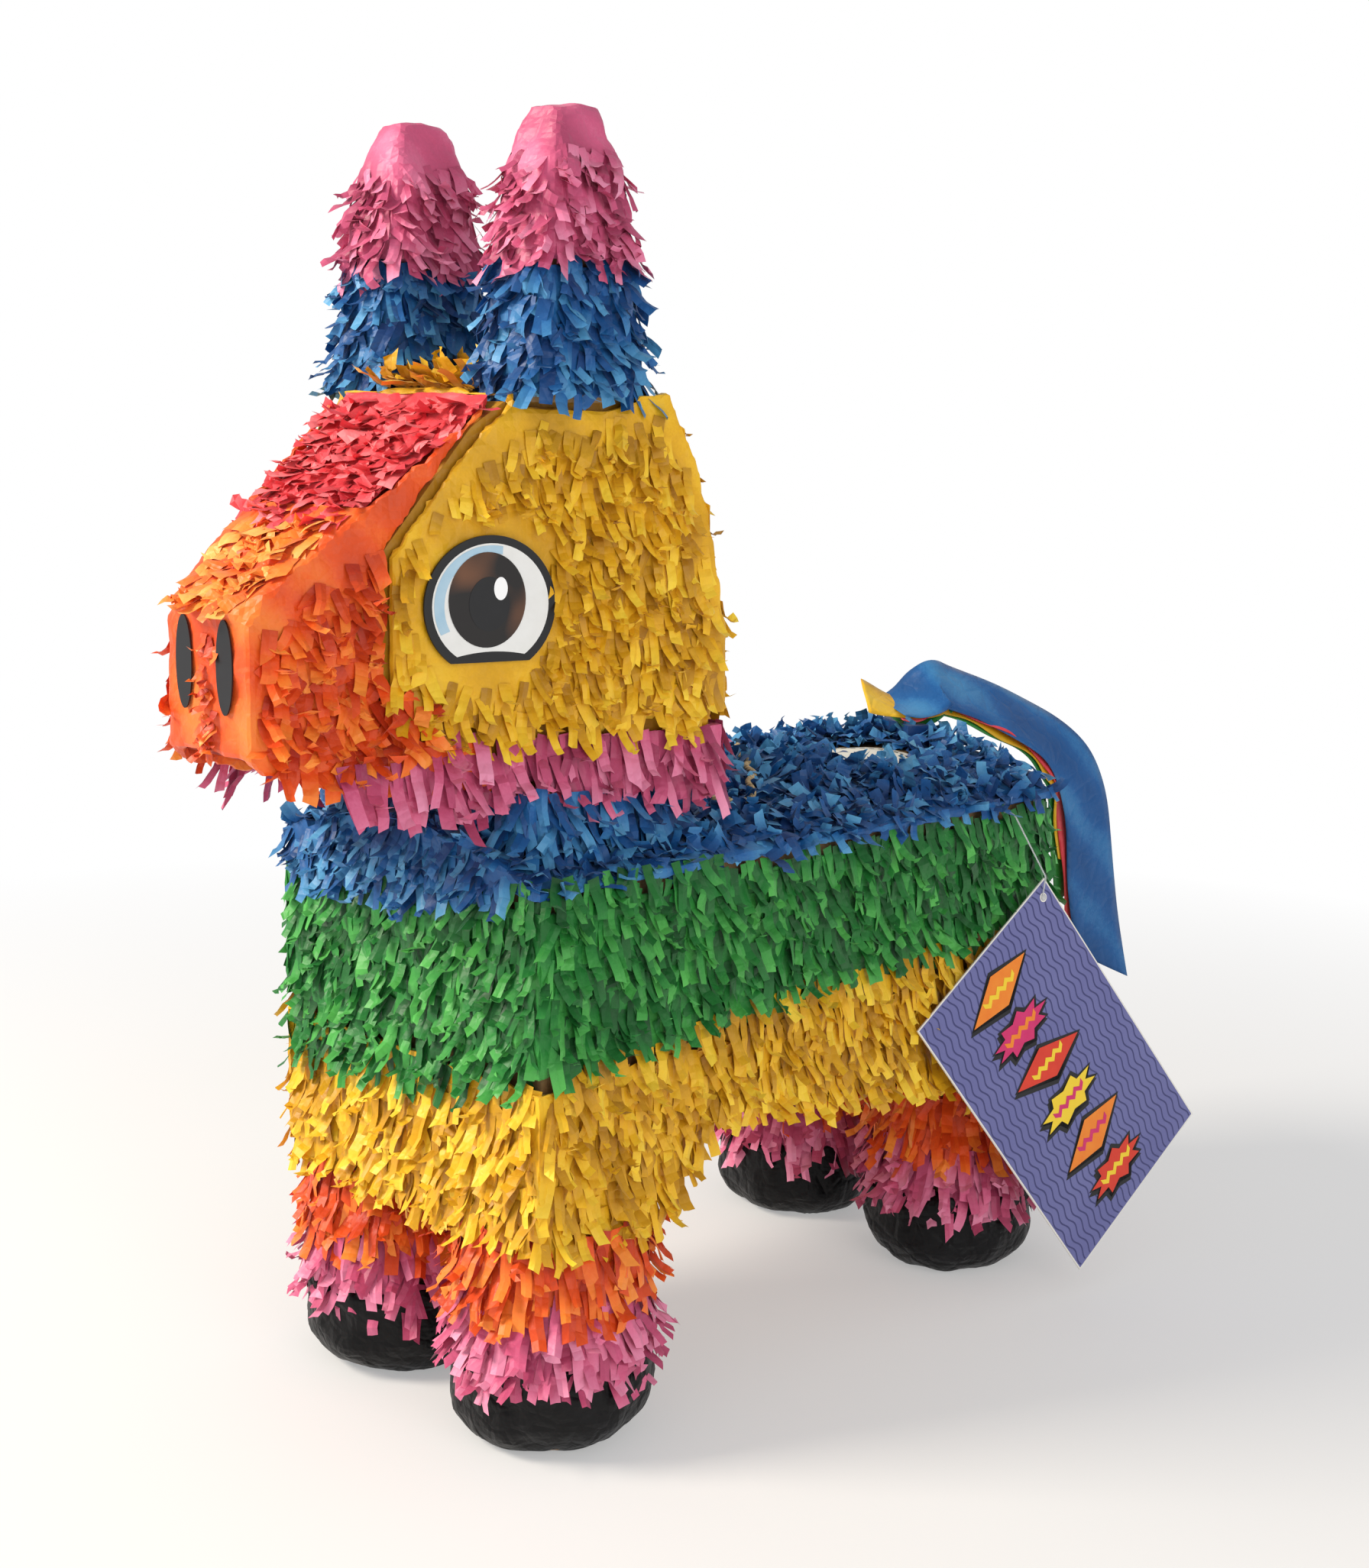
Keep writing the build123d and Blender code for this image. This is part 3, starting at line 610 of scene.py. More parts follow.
# %% Bits that curl in over the label's edge
rim_bits = 70
rim_turn = dice.uniform(0, 2 * pi, rim_bits)
rim_reach = dice.uniform(35.5, 41, rim_bits)[:, None]
rim_way = np.column_stack([np.cos(rim_turn), np.sin(rim_turn)])
rim = (flap_x, flap_y) + rim_reach * rim_way
roots = np.column_stack([rim, arch_height(rim[:, 0], 3.6)])
hang = in_space(-rim_way)
tufts("bits_round_label", "blue", roots, off_arch(roots), hang, 8.0, 6.4, (0, 20), 34, (-30, 20))

# %% Neck, and the legs' two bands
neck_low, neck_high = box_mm("neck")
neck_loop = plan_loop(neck_high[0] + 5.8, neck_low[1] - 5.8, neck_high[1] + 5.8, 8, 4.8)
roots, outward = upright_rows(neck_loop, np.arange(260, 288, 5.4))
tufts("tufts_neck", "blue", roots, outward, falls(roots), 20, 5.6, (6, 40), 13, (18, 42))

for corner in corners:
    leg_low, leg_high = box_mm(f"leg_{corner}")
    middle = (leg_low + leg_high) / 2
    leg_r = (leg_high[0] - leg_low[0]) / 2
    bands = (("orange", (77, 83, 89, 95, 101), 5.6), ("pink", (49, 55, 61, 67, 72), 7))
    for colour, heights, ring in bands:
        size = leg_r + ring
        points, facing = plan_loop(size, -size, size, size - 0.5, 4.8)
        roots, outward = upright_rows((points + middle[:2], facing), heights)
        hang = falls(roots)
        tufts(f"tufts_{colour}_{corner}", colour, roots, outward, hang, 22, 6.0, (2, 26), 11, (14, 36))

# %% Ears: rows on a rounded rectangle that grows towards the head
ear_sections = ((444.0, 34.0, 54.0), (500.0, 27.0, 40.0), (540.0, 18.0, 25.0), (556.0, 7.0, 11.0))
ear_x, ear_y = 49.0, -135.0


def ear_width(z, column=1):
    """The ear's width at a height, or its depth from column 2."""
    levels, *_ = columns = list(zip(*ear_sections))
    return np.interp(z, levels, columns[column])


def ear_ring(z, grow, step=4.6):
    """The ear's outline at a height."""
    half_x, half_y = ear_width(z) / 2 + grow, ear_width(z, 2) / 2 + grow
    return plan_loop(half_x, -half_y, half_y, 0.45 * half_x, step)


ear_rows = (("blue", np.arange(454, 506, 5.2), 4.4), ("pink", np.arange(506, 543, 5.0), 6.4))
for side, turn in sides:
    for colour, heights, ear_swell in ear_rows:
        roots, outward, hang = [], [], []
        for z in heights:
            points, facing = ear_ring(z, ear_swell)
            spread_out = (ear_width(z - 10) - ear_width(z)) / 20
            rise = z + dice.normal(0, 1.5, len(points))
            roots.append(np.column_stack([points + (turn * ear_x, ear_y), rise]))
            outward.append(np.column_stack([facing, np.full(len(points), 0.15)]))
            hang.append(np.column_stack([facing * (0.12 + spread_out), np.full(len(points), -1.0)]))
        roots, outward, hang = (np.concatenate(part) for part in (roots, outward, hang))
        tufts(f"tufts_ear_{colour}_{side}", colour, roots, outward, hang, 15, 5.6, (0, 28), 24, (14, 46))

# %% [markdown]
# ## Rows on the head's flat plates
# The cheeks and the muzzle's sides are flat and slant in plan. Rows run level on them, and
# a test against the plate's outline leaves out the roots that would miss it.


# %% Flat plates
def joined(*sets):
    """Several sets of roots and outward directions as one."""
    return tuple(np.concatenate(part) for part in zip(*sets))


def inside(outline, y, z):
    """Which points lie inside an outline, by counting crossings."""
    hit = np.zeros(len(y), bool)
    for (y0, z0), (y1, z1) in zip(outline, outline[1:] + outline[:1]):
        cross = (z0 > z) != (z1 > z)
        with np.errstate(divide="ignore", invalid="ignore"):
            hit ^= cross & (y < (y1 - y0) * (z - z0) / (z1 - z0) + y0)
    return hit


def plate_roots(outline, grow, pitch, step, side):
    """Roots on one side plate inside an outline, in rows."""
    low, high = np.min(outline, axis=0), np.max(outline, axis=0)
    rows = []
    for number, z in enumerate(np.arange(low[1], high[1], pitch)):
        y = np.arange(low[0], high[0], step) + (number % 2) * step / 2
        rows.append(np.column_stack([y + dice.normal(0, 1.2, len(y)), z + dice.normal(0, 1.4, len(y))]))
    spots = np.concatenate(rows)
    spots = spots[inside(outline, spots[:, 0], spots[:, 1])]
    roots = np.column_stack([side * head_half(spots[:, 0], grow), spots])
    outward = np.tile([side * 1.0, -plan_taper, 0.0], (len(roots), 1))
    return roots, outward


cheek = [
    (-198, 313), (-219, 329), (-219, 383), (-188, 421), (-168, 436), (-104, 440), (-88, 410), (-76, 345),
    (-76, 313),
]
jaw = [(-184, 292), (-184, 313), (-76, 313), (-76, 290)]
nose_y = box_mm("muzzle_front")[0][1]
muzzle = [(nose_y + 1, 307), (nose_y + 1, 359), (-223, 394), (-222, 328), (-222, 306), (-244, 299)]
under_cheek = [(-223, 326), (-216, 334), (-194, 318), (-223, 305)]
jaw_front = [
    (-248, 300), (-243, 304), (-223, 306), (-194, 319), (-183, 313), (-183, 290), (-196, 290), (-235, 298),
]
head_cut = (5.0, (2, 28), 13, (34, 54))
jaw_cut = (23, 5.4, (6, 36), 13, (18, 42))
eye_low, eye_high = box_mm("eye_left")
eye_r = (eye_high[1] - eye_low[1]) / 2
eye_y, eye_z = (eye_low[1] + eye_high[1]) / 2, eye_high[2] - eye_r
for side, turn in sides:
    roots, outward = plate_roots(cheek, board + 5.4, 6.6, 4.3, turn)
    over = np.hypot(roots[:, 1] - eye_y, roots[:, 2] - eye_z)
    above_eye = (np.abs(roots[:, 1] - eye_y) < eye_r) & (roots[:, 2] > eye_z)
    above_eye &= roots[:, 2] < eye_z + eye_r + 16
    smooth = (roots[:, 1] + 222) * 0.9 + 372 < roots[:, 2] - 14
    smooth &= dice.random(len(roots)) < 0.75
    keep = (over > eye_r + 4.5) & ~(above_eye & (roots[:, 2] < eye_z + eye_r + 7)) & ~smooth
    length = np.where(above_eye, 8.0, 15.5)[keep]
    roots, outward = roots[keep], outward[keep]
    tufts(f"tufts_cheek_{side}", "yellow", roots, outward, falls(roots), length, *head_cut)

    behind = plate_roots(jaw, board + 4.6, 6.4, 4.8, turn)
    roots, outward = joined(behind, plate_roots(jaw_front, board + 5.0, 6.4, 4.8, turn))
    tufts(f"tufts_jaw_{side}", "pink", roots, outward, falls(roots), *jaw_cut)

    ahead = plate_roots(muzzle, 5.5, 5.8, 4.4, turn)
    roots, outward = joined(ahead, plate_roots(under_cheek, board + 5.4, 6.8, 5.0, turn))
    tufts(f"tufts_muzzle_{side}", "orange", roots, outward, falls(roots), 14.5, 5.6, (2, 40), 28, (26, 60))

# %% Curls on the nose, most of them beside the nostrils
tries = 90
nose_x, nose_z = dice.uniform(-22, 22, tries), dice.uniform(311, 356, tries)
nose_spots = np.column_stack([nose_x, np.full(tries, nose_y - 4.6), nose_z])
middle_gap = np.abs(np.abs(nose_spots[:, 0]) - 14) > 7.5
near_mouth = (nose_spots[:, 2] < 318) | (np.abs(nose_spots[:, 0]) < 6)
nose_spots = nose_spots[middle_gap & (near_mouth | (dice.random(tries) < 0.12))]
forward_face = np.tile([0.0, -1.0, 0.0], (len(nose_spots), 1))
tufts("curls_nose", "orange", nose_spots, forward_face, falls(nose_spots), 9, 4.6, (2, 30), 40, (20, 60))

# %% The slope from brow to nose, the crown, and the back of the head


def ramp_roots(path, pitch, step, margin, lift):
    """Rows across the head along a path in Y and Z, from its lower end."""
    roots, outward, hang = [], [], []
    for (y0, z0), (y1, z1) in zip(path, path[1:]):
        run = np.hypot(y1 - y0, z1 - z0)
        along = np.array([(y1 - y0) / run, (z1 - z0) / run])
        normal = np.array([-along[1], along[0]])
        for number, go in enumerate(np.arange(pitch / 2, run, pitch)):
            half = head_half(y0 + along[0] * go, margin)
            x = np.arange(-half, half + 0.1, step) + (number % 2) * step / 2
            x = np.clip(x + dice.normal(0, 1.2, len(x)), -half, half)
            shaken = (go + dice.normal(0, 1.3, len(x)))[:, None]
            roots.append(np.column_stack([x, (y0, z0) + along * shaken + normal * lift]))
            outward.append(np.tile([0, normal[0], normal[1]], (len(x), 1)))
            hang.append(np.tile([0, -along[0], -along[1]], (len(x), 1)))
    return tuple(np.concatenate(part) for part in (roots, outward, hang))


roots, outward, hang = ramp_roots([(nose_y, 362), (-229, 395)], 5.4, 6.0, -5, 5.4)
# The slope's bits use the "glow" paper: orange tissue with painted light from the key lamp.
tufts("bits_muzzle", "glow", roots, outward, hang, 12.0, 9.0, (0, 14), 30, (-6, 26))
roots, outward, hang = ramp_roots([(-232, 393), (-180, 434), (-171, 442)], 5.4, 5.4, -3, 4.2)
tufts("bits_forehead", "red", roots, outward, hang, 11.5, 7.0, (2, 34), 36, (0, 36))

roots, outward, hang = ramp_roots([(-170, 444), (-104, 444)], 6.5, 5.0, 2, 5.4)
clear = np.abs(roots[:, 0]) < 30
tufts("tufts_crown", "yellow", roots[clear], outward[clear], hang[clear], 15, 6.5, (15, 75), 26, (0, 30))

nape = [(-75, 314), (-75, 345), (-88, 410), (-104, 444)]
roots, outward, hang = ramp_roots(nape, 7.0, 4.6, 5, -5.4)
tufts("tufts_nape", "yellow", roots, -outward, hang, 15.5, *head_cut)
roots, outward, hang = ramp_roots([(-75, 291), (-75, 313)], 6.0, 4.8, 5, -4.6)
tufts("tufts_jaw_back", "pink", roots, -outward, hang, *jaw_cut)

# %% [markdown]
# ## Papered board, bare board and hooves
# The cheeks' rims, the muzzle and the crown are board with tissue pasted flat on it, so
# those packed panels only take a paper. Where nothing was pasted the grey-brown board
# shows, with its flutes as faint lines. The hooves are bowls of crushed black tissue, so
# copies of them get the same treatment as the wraps, with deeper folds.

# %% Bare board
board_paper, board_surface = shader("corrugated board", roughness=0.85, specular=0.2)
tree = board_paper.node_tree
where = place(tree)
flutes = add_node(tree, "TexWave", Scale=60.0, Distortion=0.6)
tree.links.new(where, flutes.inputs["Vector"])
pulp = noise(tree, where, 380.0, detail=4.0)
tone = maths(tree, "ADD", scaled(tree, flutes.outputs["Fac"], 0.25), scaled(tree, pulp, 0.75))
tinted(tree, tone, (128, 96, 62), (196, 160, 118), board_surface)
bump(board_paper, tone, board_surface, 0.25, 0.0006)


def coat(node, material):
    """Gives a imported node's mesh one material."""
    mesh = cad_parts[node].data
    mesh.materials.clear()
    mesh.materials.append(material)


bare = ["chest_panel", "rump_panel", "belly_panel", "back_panel", "fill_flap", "neck"]
bare += [f"{part}_{side}" for part in ("side", "ear") for side, _ in sides]
for node in bare + [f"leg_{corner}" for corner in corners]:
    coat(node, board_paper)
for node in ("cheek_left", "cheek_right", "crown_strip"):
    coat(node, papers["yellow"])
for node in ("muzzle_front", "muzzle_top", "muzzle_side_left", "muzzle_side_right", "jaw_panel"):
    coat(node, papers["orange"])
coat("tail_tab", papers["blue"])

dowel_wood, dowel_surface = shader("beech dowel", roughness=0.7)
tree = dowel_wood.node_tree
grain = noise(tree, place(tree), 240.0, detail=5.0)
tinted(tree, grain, (176, 134, 88), (222, 186, 140), dowel_surface)
coat("toggle", dowel_wood)

# %% Hooves
for corner in corners:
    hoof = wrap(f"hoof_{corner}", "black", 0.8, crumple=0.0030, voxel=0.003, shades=(0.1, 0.9), texture=folds)
    spots = vertex_spots(hoof.data)
    spots[:, 2] = np.maximum(spots[:, 2], 0.0003)
    hoof.data.vertices.foreach_set("co", spots.reshape(-1))
    print(hoof.name, len(hoof.data.polygons), "faces")

# %% [markdown]
# ## Printed stickers
# The eyes, nostrils, label and tag are flat prints. Each ink is its own thin sheet of
# polygons, a tenth of a millimetre above the last, which keeps every edge sharp from near
# by. A helper turns outlines in a sticker's own two directions into such a sheet.


# %% Inks
def ink(name, colour, second=None, roughness=0.35, scale=140.0):
    """A printed colour with slight mottling, and a second tone if one is given."""
    material, surface = shader(name, roughness=roughness, specular=0.45)
    tree = material.node_tree
    second = second or tuple(min(255, int(c * 1.12) + 6) for c in colour)
    mottle = noise(tree, place(tree), scale, detail=3.0)
    tinted(tree, mottle, colour, second, surface)
    bump(material, mottle, surface, 0.08, 0.0003)
    return material


def print_sheet(name, outlines, at, material, body):
    """Polygons given in a sticker's own directions, as one thin piece."""
    points, faces = [], []
    for outline in outlines:
        faces.append(list(range(len(points), len(points) + len(outline))))
        points.extend(at(a, b) for a, b in outline)
    piece = in_scene(name, new_mesh(name, [tuple(np.array(p) * mm) for p in points], faces, material))
    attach(piece, body)


def oval(a, b, wide, high, steps=56, low=None, dip=0.0):
    """An oval's outline, cut off below low with an edge that dips inwards."""
    turn = np.linspace(0, 2 * pi, steps, endpoint=False)
    out = [(a + wide * sin(t), b + high * cos(t)) for t in turn]
    if low is None:
        return out
    reach_low = wide * sqrt(max(0.0, 1 - ((low - b) / high) ** 2))
    kept = [p for p in out if p[1] > low]
    right = [p for p in kept if p[0] >= a]
    left = [p for p in kept if p[0] < a]
    edge = [(a + reach_low * c, low + dip * (1 - c * c)) for c in np.linspace(1, -1, 13)]
    return right + edge + left


black_ink = ink("black ink", (10, 10, 12), (24, 24, 28))
eye_white = ink("eye white", (226, 226, 222), (240, 240, 238))
eye_shade = ink("eye shade", (150, 190, 215), (190, 214, 228))
iris_brown, iris_surface = shader("iris print", roughness=0.3, specular=0.5)
tree = iris_brown.node_tree
cloud = noise(tree, place(tree), 42.0, detail=1.0)
tone = clamped(tree, scaled(tree, cloud, 3.6, start=0.5))
tinted(tree, tone, (16, 9, 7), (112, 70, 42), iris_surface)
shine_white = ink("shine", (250, 250, 250), (255, 255, 255))

# %% Eyes
for side, turn in sides:
    low, high = box_mm(f"eye_{side}")
    centre_y = (low[1] + high[1]) / 2
    radius = (high[1] - low[1]) / 2
    centre_z = high[2] - radius
    outer = high[0] if turn > 0 else -low[0]
    grown = (outer - head_half(high[1])) / plan_stretch

    def on_cheek(a, b, lift=0.0, turn=turn, cy=centre_y, cz=centre_z, g=grown):
        """A place on the eye sticker: a forwards, b up."""
        return (turn * head_half(cy - a, g + lift), cy - a, cz + b)

    cut = low[2] - centre_z
    layers = (
        ("rim", black_ink, oval(0, 0, radius, radius, low=cut, dip=1.6), 0.12),
        ("white", eye_white, oval(0, 0.2, radius - 3.2, radius - 3.4, low=cut + 2.7, dip=1.6), 0.24),
        ("iris", iris_brown, oval(1.7, 2.4, 16.4, 19.0), 0.48),
        ("pupil", black_ink, oval(1.0, 0.8, 8.6, 10.8), 0.60),
        ("shine", shine_white, oval(-3.8, 6.8, 2.9, 4.6, steps=28), 0.72),
    )
    arc = np.radians(np.linspace(-12, 118, 26))
    band = [((radius - 4.0) * sin(t), 0.2 + (radius - 4.2) * cos(t)) for t in arc]
    inner = [((radius - 7.6) * sin(t) - 0.6, 0.2 + (radius - 7.4) * cos(t)) for t in arc[::-1]]
    layers += (("crescent", eye_shade, band + inner, 0.36),)
    for part, material, outline, lift in layers:
        spot = partial(on_cheek, lift=lift)
        print_sheet(f"eye_{part}_{side}", [outline], spot, material, "carcass")
    coat(f"eye_{side}", black_ink)
    print("eye", side, "radius", round(radius, 1), "at", round(centre_y, 1), round(centre_z, 1))

coat("nostrils", black_ink)

# %% [markdown]
# ## Label and tag
# The round label over the fill flap carries a dashed cutting line and a small triangle that
# points to the place to push. The tag is a white card printed in blue violet with wavy
# lines and a row of bright patches edged in black. Its wording is left out.

# %% Round label
label_paper = ink("label paper", (236, 231, 214), (246, 243, 232), roughness=0.6)
coat("flap_label", label_paper)
label_rise = box_mm("flap_label")[1][2] - (body_top + crown)


def on_label_top(a, b):
    """A place on the label: a to the donkey's left, b to the rear."""
    return (flap_x + a, flap_y + b, float(arch_height(flap_x + a, label_rise + 0.15)))


dashes = []
for number in range(36):
    t0, t1 = radians(number * 10), radians(number * 10 + 5.6)
    ends = ((28.4, t0), (28.4, t1), (29.4, t1), (29.4, t0))
    dashes.append([(r * cos(t), r * sin(t)) for r, t in ends])
print_sheet("label_dashes", dashes, on_label_top, black_ink, "flap")
blue_ink = ink("blue ink", (30, 80, 165))
arrow = [[(12.0, -6.0), (20.0, 0.0), (12.0, 6.0)]]
print_sheet("label_triangle", arrow, on_label_top, blue_ink, "flap")

# %% Tag
tag_heading, tag_lean, tag_turn = radians(80), radians(10), radians(34.8)
tag_corner = np.array([100.0, 149.0, 211.0])
tag_wide, tag_long, tag_half_card = 112.0, 168.0, 0.4
across = np.array([cos(tag_heading), sin(tag_heading), 0])
facing = np.array([sin(tag_heading), -cos(tag_heading), 0])
rising = np.array([0, 0, cos(tag_lean)]) - facing * sin(tag_lean)
tag_left = -(across * cos(tag_turn) + rising * sin(tag_turn))
tag_down = across * sin(tag_turn) - rising * cos(tag_turn)
tag_front = np.cross(tag_left, tag_down)
tag_card = ink("tag card", (226, 222, 212), (242, 240, 234), roughness=0.5)
coat("tag", tag_card)


def tag_print(name, outlines, lift, material):
    """A sheet on the tag's front, lifted off the card."""
    front = tag_corner + tag_front * (tag_half_card + lift)
    spot = lambda a, b: front + tag_left * a + tag_down * b
    print_sheet(f"tag_{name}", outlines, spot, material, "tag")


hole = [(7 + 2.4 * cos(t), 7 + 2.4 * sin(t)) for t in np.linspace(0, 2 * pi, 24, endpoint=False)]
margin = 0.8
far_a, far_b = tag_wide - margin, tag_long - margin
ground = [[(margin, margin), (margin, far_b), (far_a, far_b), (far_a, margin)]]
violet = ink("violet print", (96, 98, 156), (118, 120, 172), roughness=0.45, scale=25.0)
tag_print("ground", ground, 0.05, violet)
tag_print("eyelet", [hole], 0.15, tag_card)
waves = []
half_line = 0.45
for start in np.arange(3.5, tag_wide - 2, 4.4):
    run = np.linspace(1.5, tag_long - 1.5, 131)
    sway = start + 1.1 * np.sin(run * 2 * pi / 13.0 + start * 0.15)
    left, right = list(zip(sway - half_line, run)), list(zip(sway + half_line, run))
    for k in range(len(run) - 1):
        waves.append([left[k], left[k + 1], right[k + 1], right[k]])
dark_violet = ink("dark violet print", (58, 60, 112), (66, 68, 122))
tag_print("waves", waves, 0.12, dark_violet)
print("tag has", len(waves), "wave facets")


# %% The tag's row of patches
def grown(outline, by):
    """An outline pushed out from its middle by a distance."""
    middle = np.mean(outline, axis=0)
    away = np.array(outline) - middle
    size = np.linalg.norm(away, axis=1, keepdims=True)
    return [tuple(p) for p in middle + away * (1 + by / size)]


def diamond(a, b, wide, high, lean):
    """A leaning diamond."""
    return [(a - wide, b - lean), (a, b + high), (a + wide, b + lean), (a, b - high)]


def saw(a, b, wide, high, teeth):
    """A zigzag stripe across the row."""
    top = [(a - wide + 2 * wide * k / teeth, b + (high if k % 2 else 0)) for k in range(teeth + 1)]
    return top + [(p, q - high * 1.1) for p, q in reversed(top)]


def sun(a, b, wide, high, points):
    """A sun with short and long rays, wider than it is high."""
    rays = np.arange(2 * points) * pi / points
    size = np.where(np.arange(2 * points) % 2, 1.0, 0.66)
    return [(a + wide * k * cos(t), b + high * k * sin(t)) for k, t in zip(size, rays)]


row = 60.0
shapes = [
    ("orange", diamond(row, 22, 25, 9.5, 3)), ("magenta", sun(row + 2, 47, 22, 9.5, 9)),
    ("scarlet", diamond(row - 1, 72, 25, 9.5, -3)), ("yolk", sun(row + 1, 97, 23, 9.5, 8)),
    ("orange", diamond(row, 122, 25, 9.5, 3)), ("scarlet", sun(row - 1, 147, 22, 9.5, 9)),
]
bright = {
    "orange": ink("orange print", (242, 120, 20), (250, 150, 40)),
    "magenta": ink("magenta print", (205, 25, 95), (225, 50, 120)),
    "scarlet": ink("scarlet print", (215, 45, 25), (232, 66, 36)),
    "yolk": ink("yolk print", (248, 205, 20), (252, 220, 60)),
}
edges = [grown(outline, 2.4) for _, outline in shapes]
edges += [[(p + 1.8, q + 1.4) for p, q in edge] for edge in edges]
tag_print("edges", edges, 0.20, black_ink)
for name, material in bright.items():
    fills = [outline for label, outline in shapes if label == name]
    tag_print(f"fill_{name}", fills, 0.30, material)
inlays = {"yolk": [0, 2, 5], "magenta": [3, 4], "orange": [1]}
for name, picks in inlays.items():
    stripes = [saw(*np.mean(shapes[pick][1], axis=0), 13.0, 2.6, 8) for pick in picks]
    tag_print(f"inlay_{name}", stripes, 0.40, bright[name])

nylon, nylon_surface = shader("clear nylon", roughness=0.25, specular=0.5)
nylon_surface.inputs["Base Color"].default_value = (0.85, 0.86, 0.88, 1)
nylon_surface.inputs["Transmission Weight"].default_value = 0.5
haze = noise(nylon.node_tree, place(nylon.node_tree), 300.0)
bump(nylon, haze, nylon_surface, 0.05, 0.0002)
coat("tag_fastener", nylon)

# %% [markdown]
# ## The crepe tail
# Four crepe streamers are glued to a tab on the rump. They rise, tip over a soft peak and
# turn as they hang, so the blue one shows its broad face. All four follow one path, and the
# other three lie as layers behind the blue one and peep out at its edge. Each is a strip of
# quads whose width turns as it goes, with ruffled edges and a slanting end.

# %% Streamers
tail_foot = np.array([-5.0, 156.0])
tail_aim = np.array([sin(radians(27)), cos(radians(27))])
tail_side = np.array([tail_aim[1], -tail_aim[0], 0.0])


def streamer(name, colour, half_width, start, reach, beside, behind, slant, phase):
    """A ribbon along the tail's path, up to a share of it, beside and behind its middle line."""
    stations = np.array([start, *tail_path], float)
    knots = np.linspace(0, 1, len(stations))
    fine = np.linspace(0, 1, 121)
    track = np.stack([np.interp(fine, knots, column) for column in stations.T], axis=1)
    for _ in range(26):
        track[1:-1] = 0.25 * track[:-2] + 0.5 * track[1:-1] + 0.25 * track[2:]
    track = np.stack([np.interp(fine * reach, fine, column) for column in track.T], axis=1)
    centre = np.column_stack([tail_foot + track[:, :1] * tail_aim, track[:, 1]]) + track[:, 2:3] * tail_side
    ahead = unit(np.gradient(centre, axis=0))
    side = unit(tail_side - ahead * (ahead @ tail_side)[:, None])
    face = np.cross(side, ahead)
    angle = np.radians(track[:, 3])[:, None]
    side = side * np.cos(angle) + face * np.sin(angle)
    face = np.cross(side, ahead)
    centre = centre + side * (beside * fine)[:, None] - face * behind
    spread = np.linspace(-1, 1, 9)
    rows = []
    for number, t in enumerate(fine):
        ruffle = 0.9 * np.sin(34 * t + phase + 1.3 * spread) * spread**2
        ruffle = ruffle + 0.8 * np.sin(9 * t + 2 * phase) * spread
        end = slant * spread * max(0.0, (t - 0.8) / 0.2)
        wide = half_width * (1 - 0.10 * sin(17 * t + phase) ** 2) * spread
        parts = ((side, wide), (face, ruffle), (ahead, end))
        rows.append(centre[number] + sum(way[number] * size[:, None] for way, size in parts))
    columns = len(spread)
    first = (np.arange(len(fine) - 1)[:, None] * columns + np.arange(columns - 1)[None, :]).reshape(-1)
    faces = np.stack([first, first + 1, first + columns + 1, first + columns], axis=1)
    points = np.concatenate(rows) * mm
    mesh = new_mesh(name, points.tolist(), faces.tolist(), papers[colour], smooth=True)
    set_shade(mesh, 0.25, 0.75, phase)
    piece = in_scene(name, mesh)
    thick = piece.modifiers.new("thickness", "SOLIDIFY")
    thick.thickness = 0.0004
    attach(piece, "tail")
    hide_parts(name.replace("crepe", "streamer"))
    print(name, "of", round(line_length(centre)), "mm")


blue_half, other_half = 18.0, 14.0
tail_path = [
    (8, 288, 0, -25), (18, 294, 0, -38), (25, 299, 0, -40), (28, 297, 0, -40), (50, 289, 1, -38),
    (72, 279, 3, -40), (92, 267, 6, -50), (106, 252, 9, -66), (112, 230, 12, -76), (114, 200, 15, -77),
    (117, 170, 17, -77), (122, 140, 20, -77),
]
glued = (-2, 286, 0, -12)
loose_end = (-16, 296, 0, -30)
streamer("crepe_blue", "blue", blue_half, glued, 1.0, 0.0, 0.0, -11.0, 0.4)
streamer("crepe_red", "red", other_half, glued, 0.96, 6.0, 2.2, 4.0, 1.9)
streamer("crepe_yellow", "yellow", other_half, loose_end, 0.84, 7.0, 4.4, -5.0, 3.1)
streamer("crepe_green", "green", other_half, glued, 0.88, 9.0, 6.6, 6.0, 4.4)

# %% [markdown]
# ## Twine
# The hanging loop is jute twine: three strands laid round each other. The loop is one
# smooth line, and each strand is a thin tube that winds round it, which shows the lay at
# any distance. The line's ends go down through two holes in the back to the dowel inside.

# %% The loop's line
twine_d = 3.0
coat_r = arch_r + back_fringe
lie = twine_d / 2 + 0.5
twine_plan = [
    (48, -42), (59, -28), (49, -13), (37, -7), (31, 8), (17, 13), (9, 27), (-6, 33), (-14, 48), (-29, 55),
    (-37, 69), (-49, 76), (-63, 72), (-69, 59), (-62, 44), (-64, 27), (-53, 13), (-52, -5), (-40, -17),
]
twine_first, twine_last = (34.0, -48.0), (-30.0, -40.0)
inside_end = box_mm("hanging_loop")[0][2]
print("twine ends at", round(inside_end, 2))


def twine_spot(x, y, extra=0.0):
    """A point of the loop's line where it lies on the back's coat."""
    return (x * mm, y * mm, float(arch_height(x, coat_r - arch_r) + lie + extra) * mm)


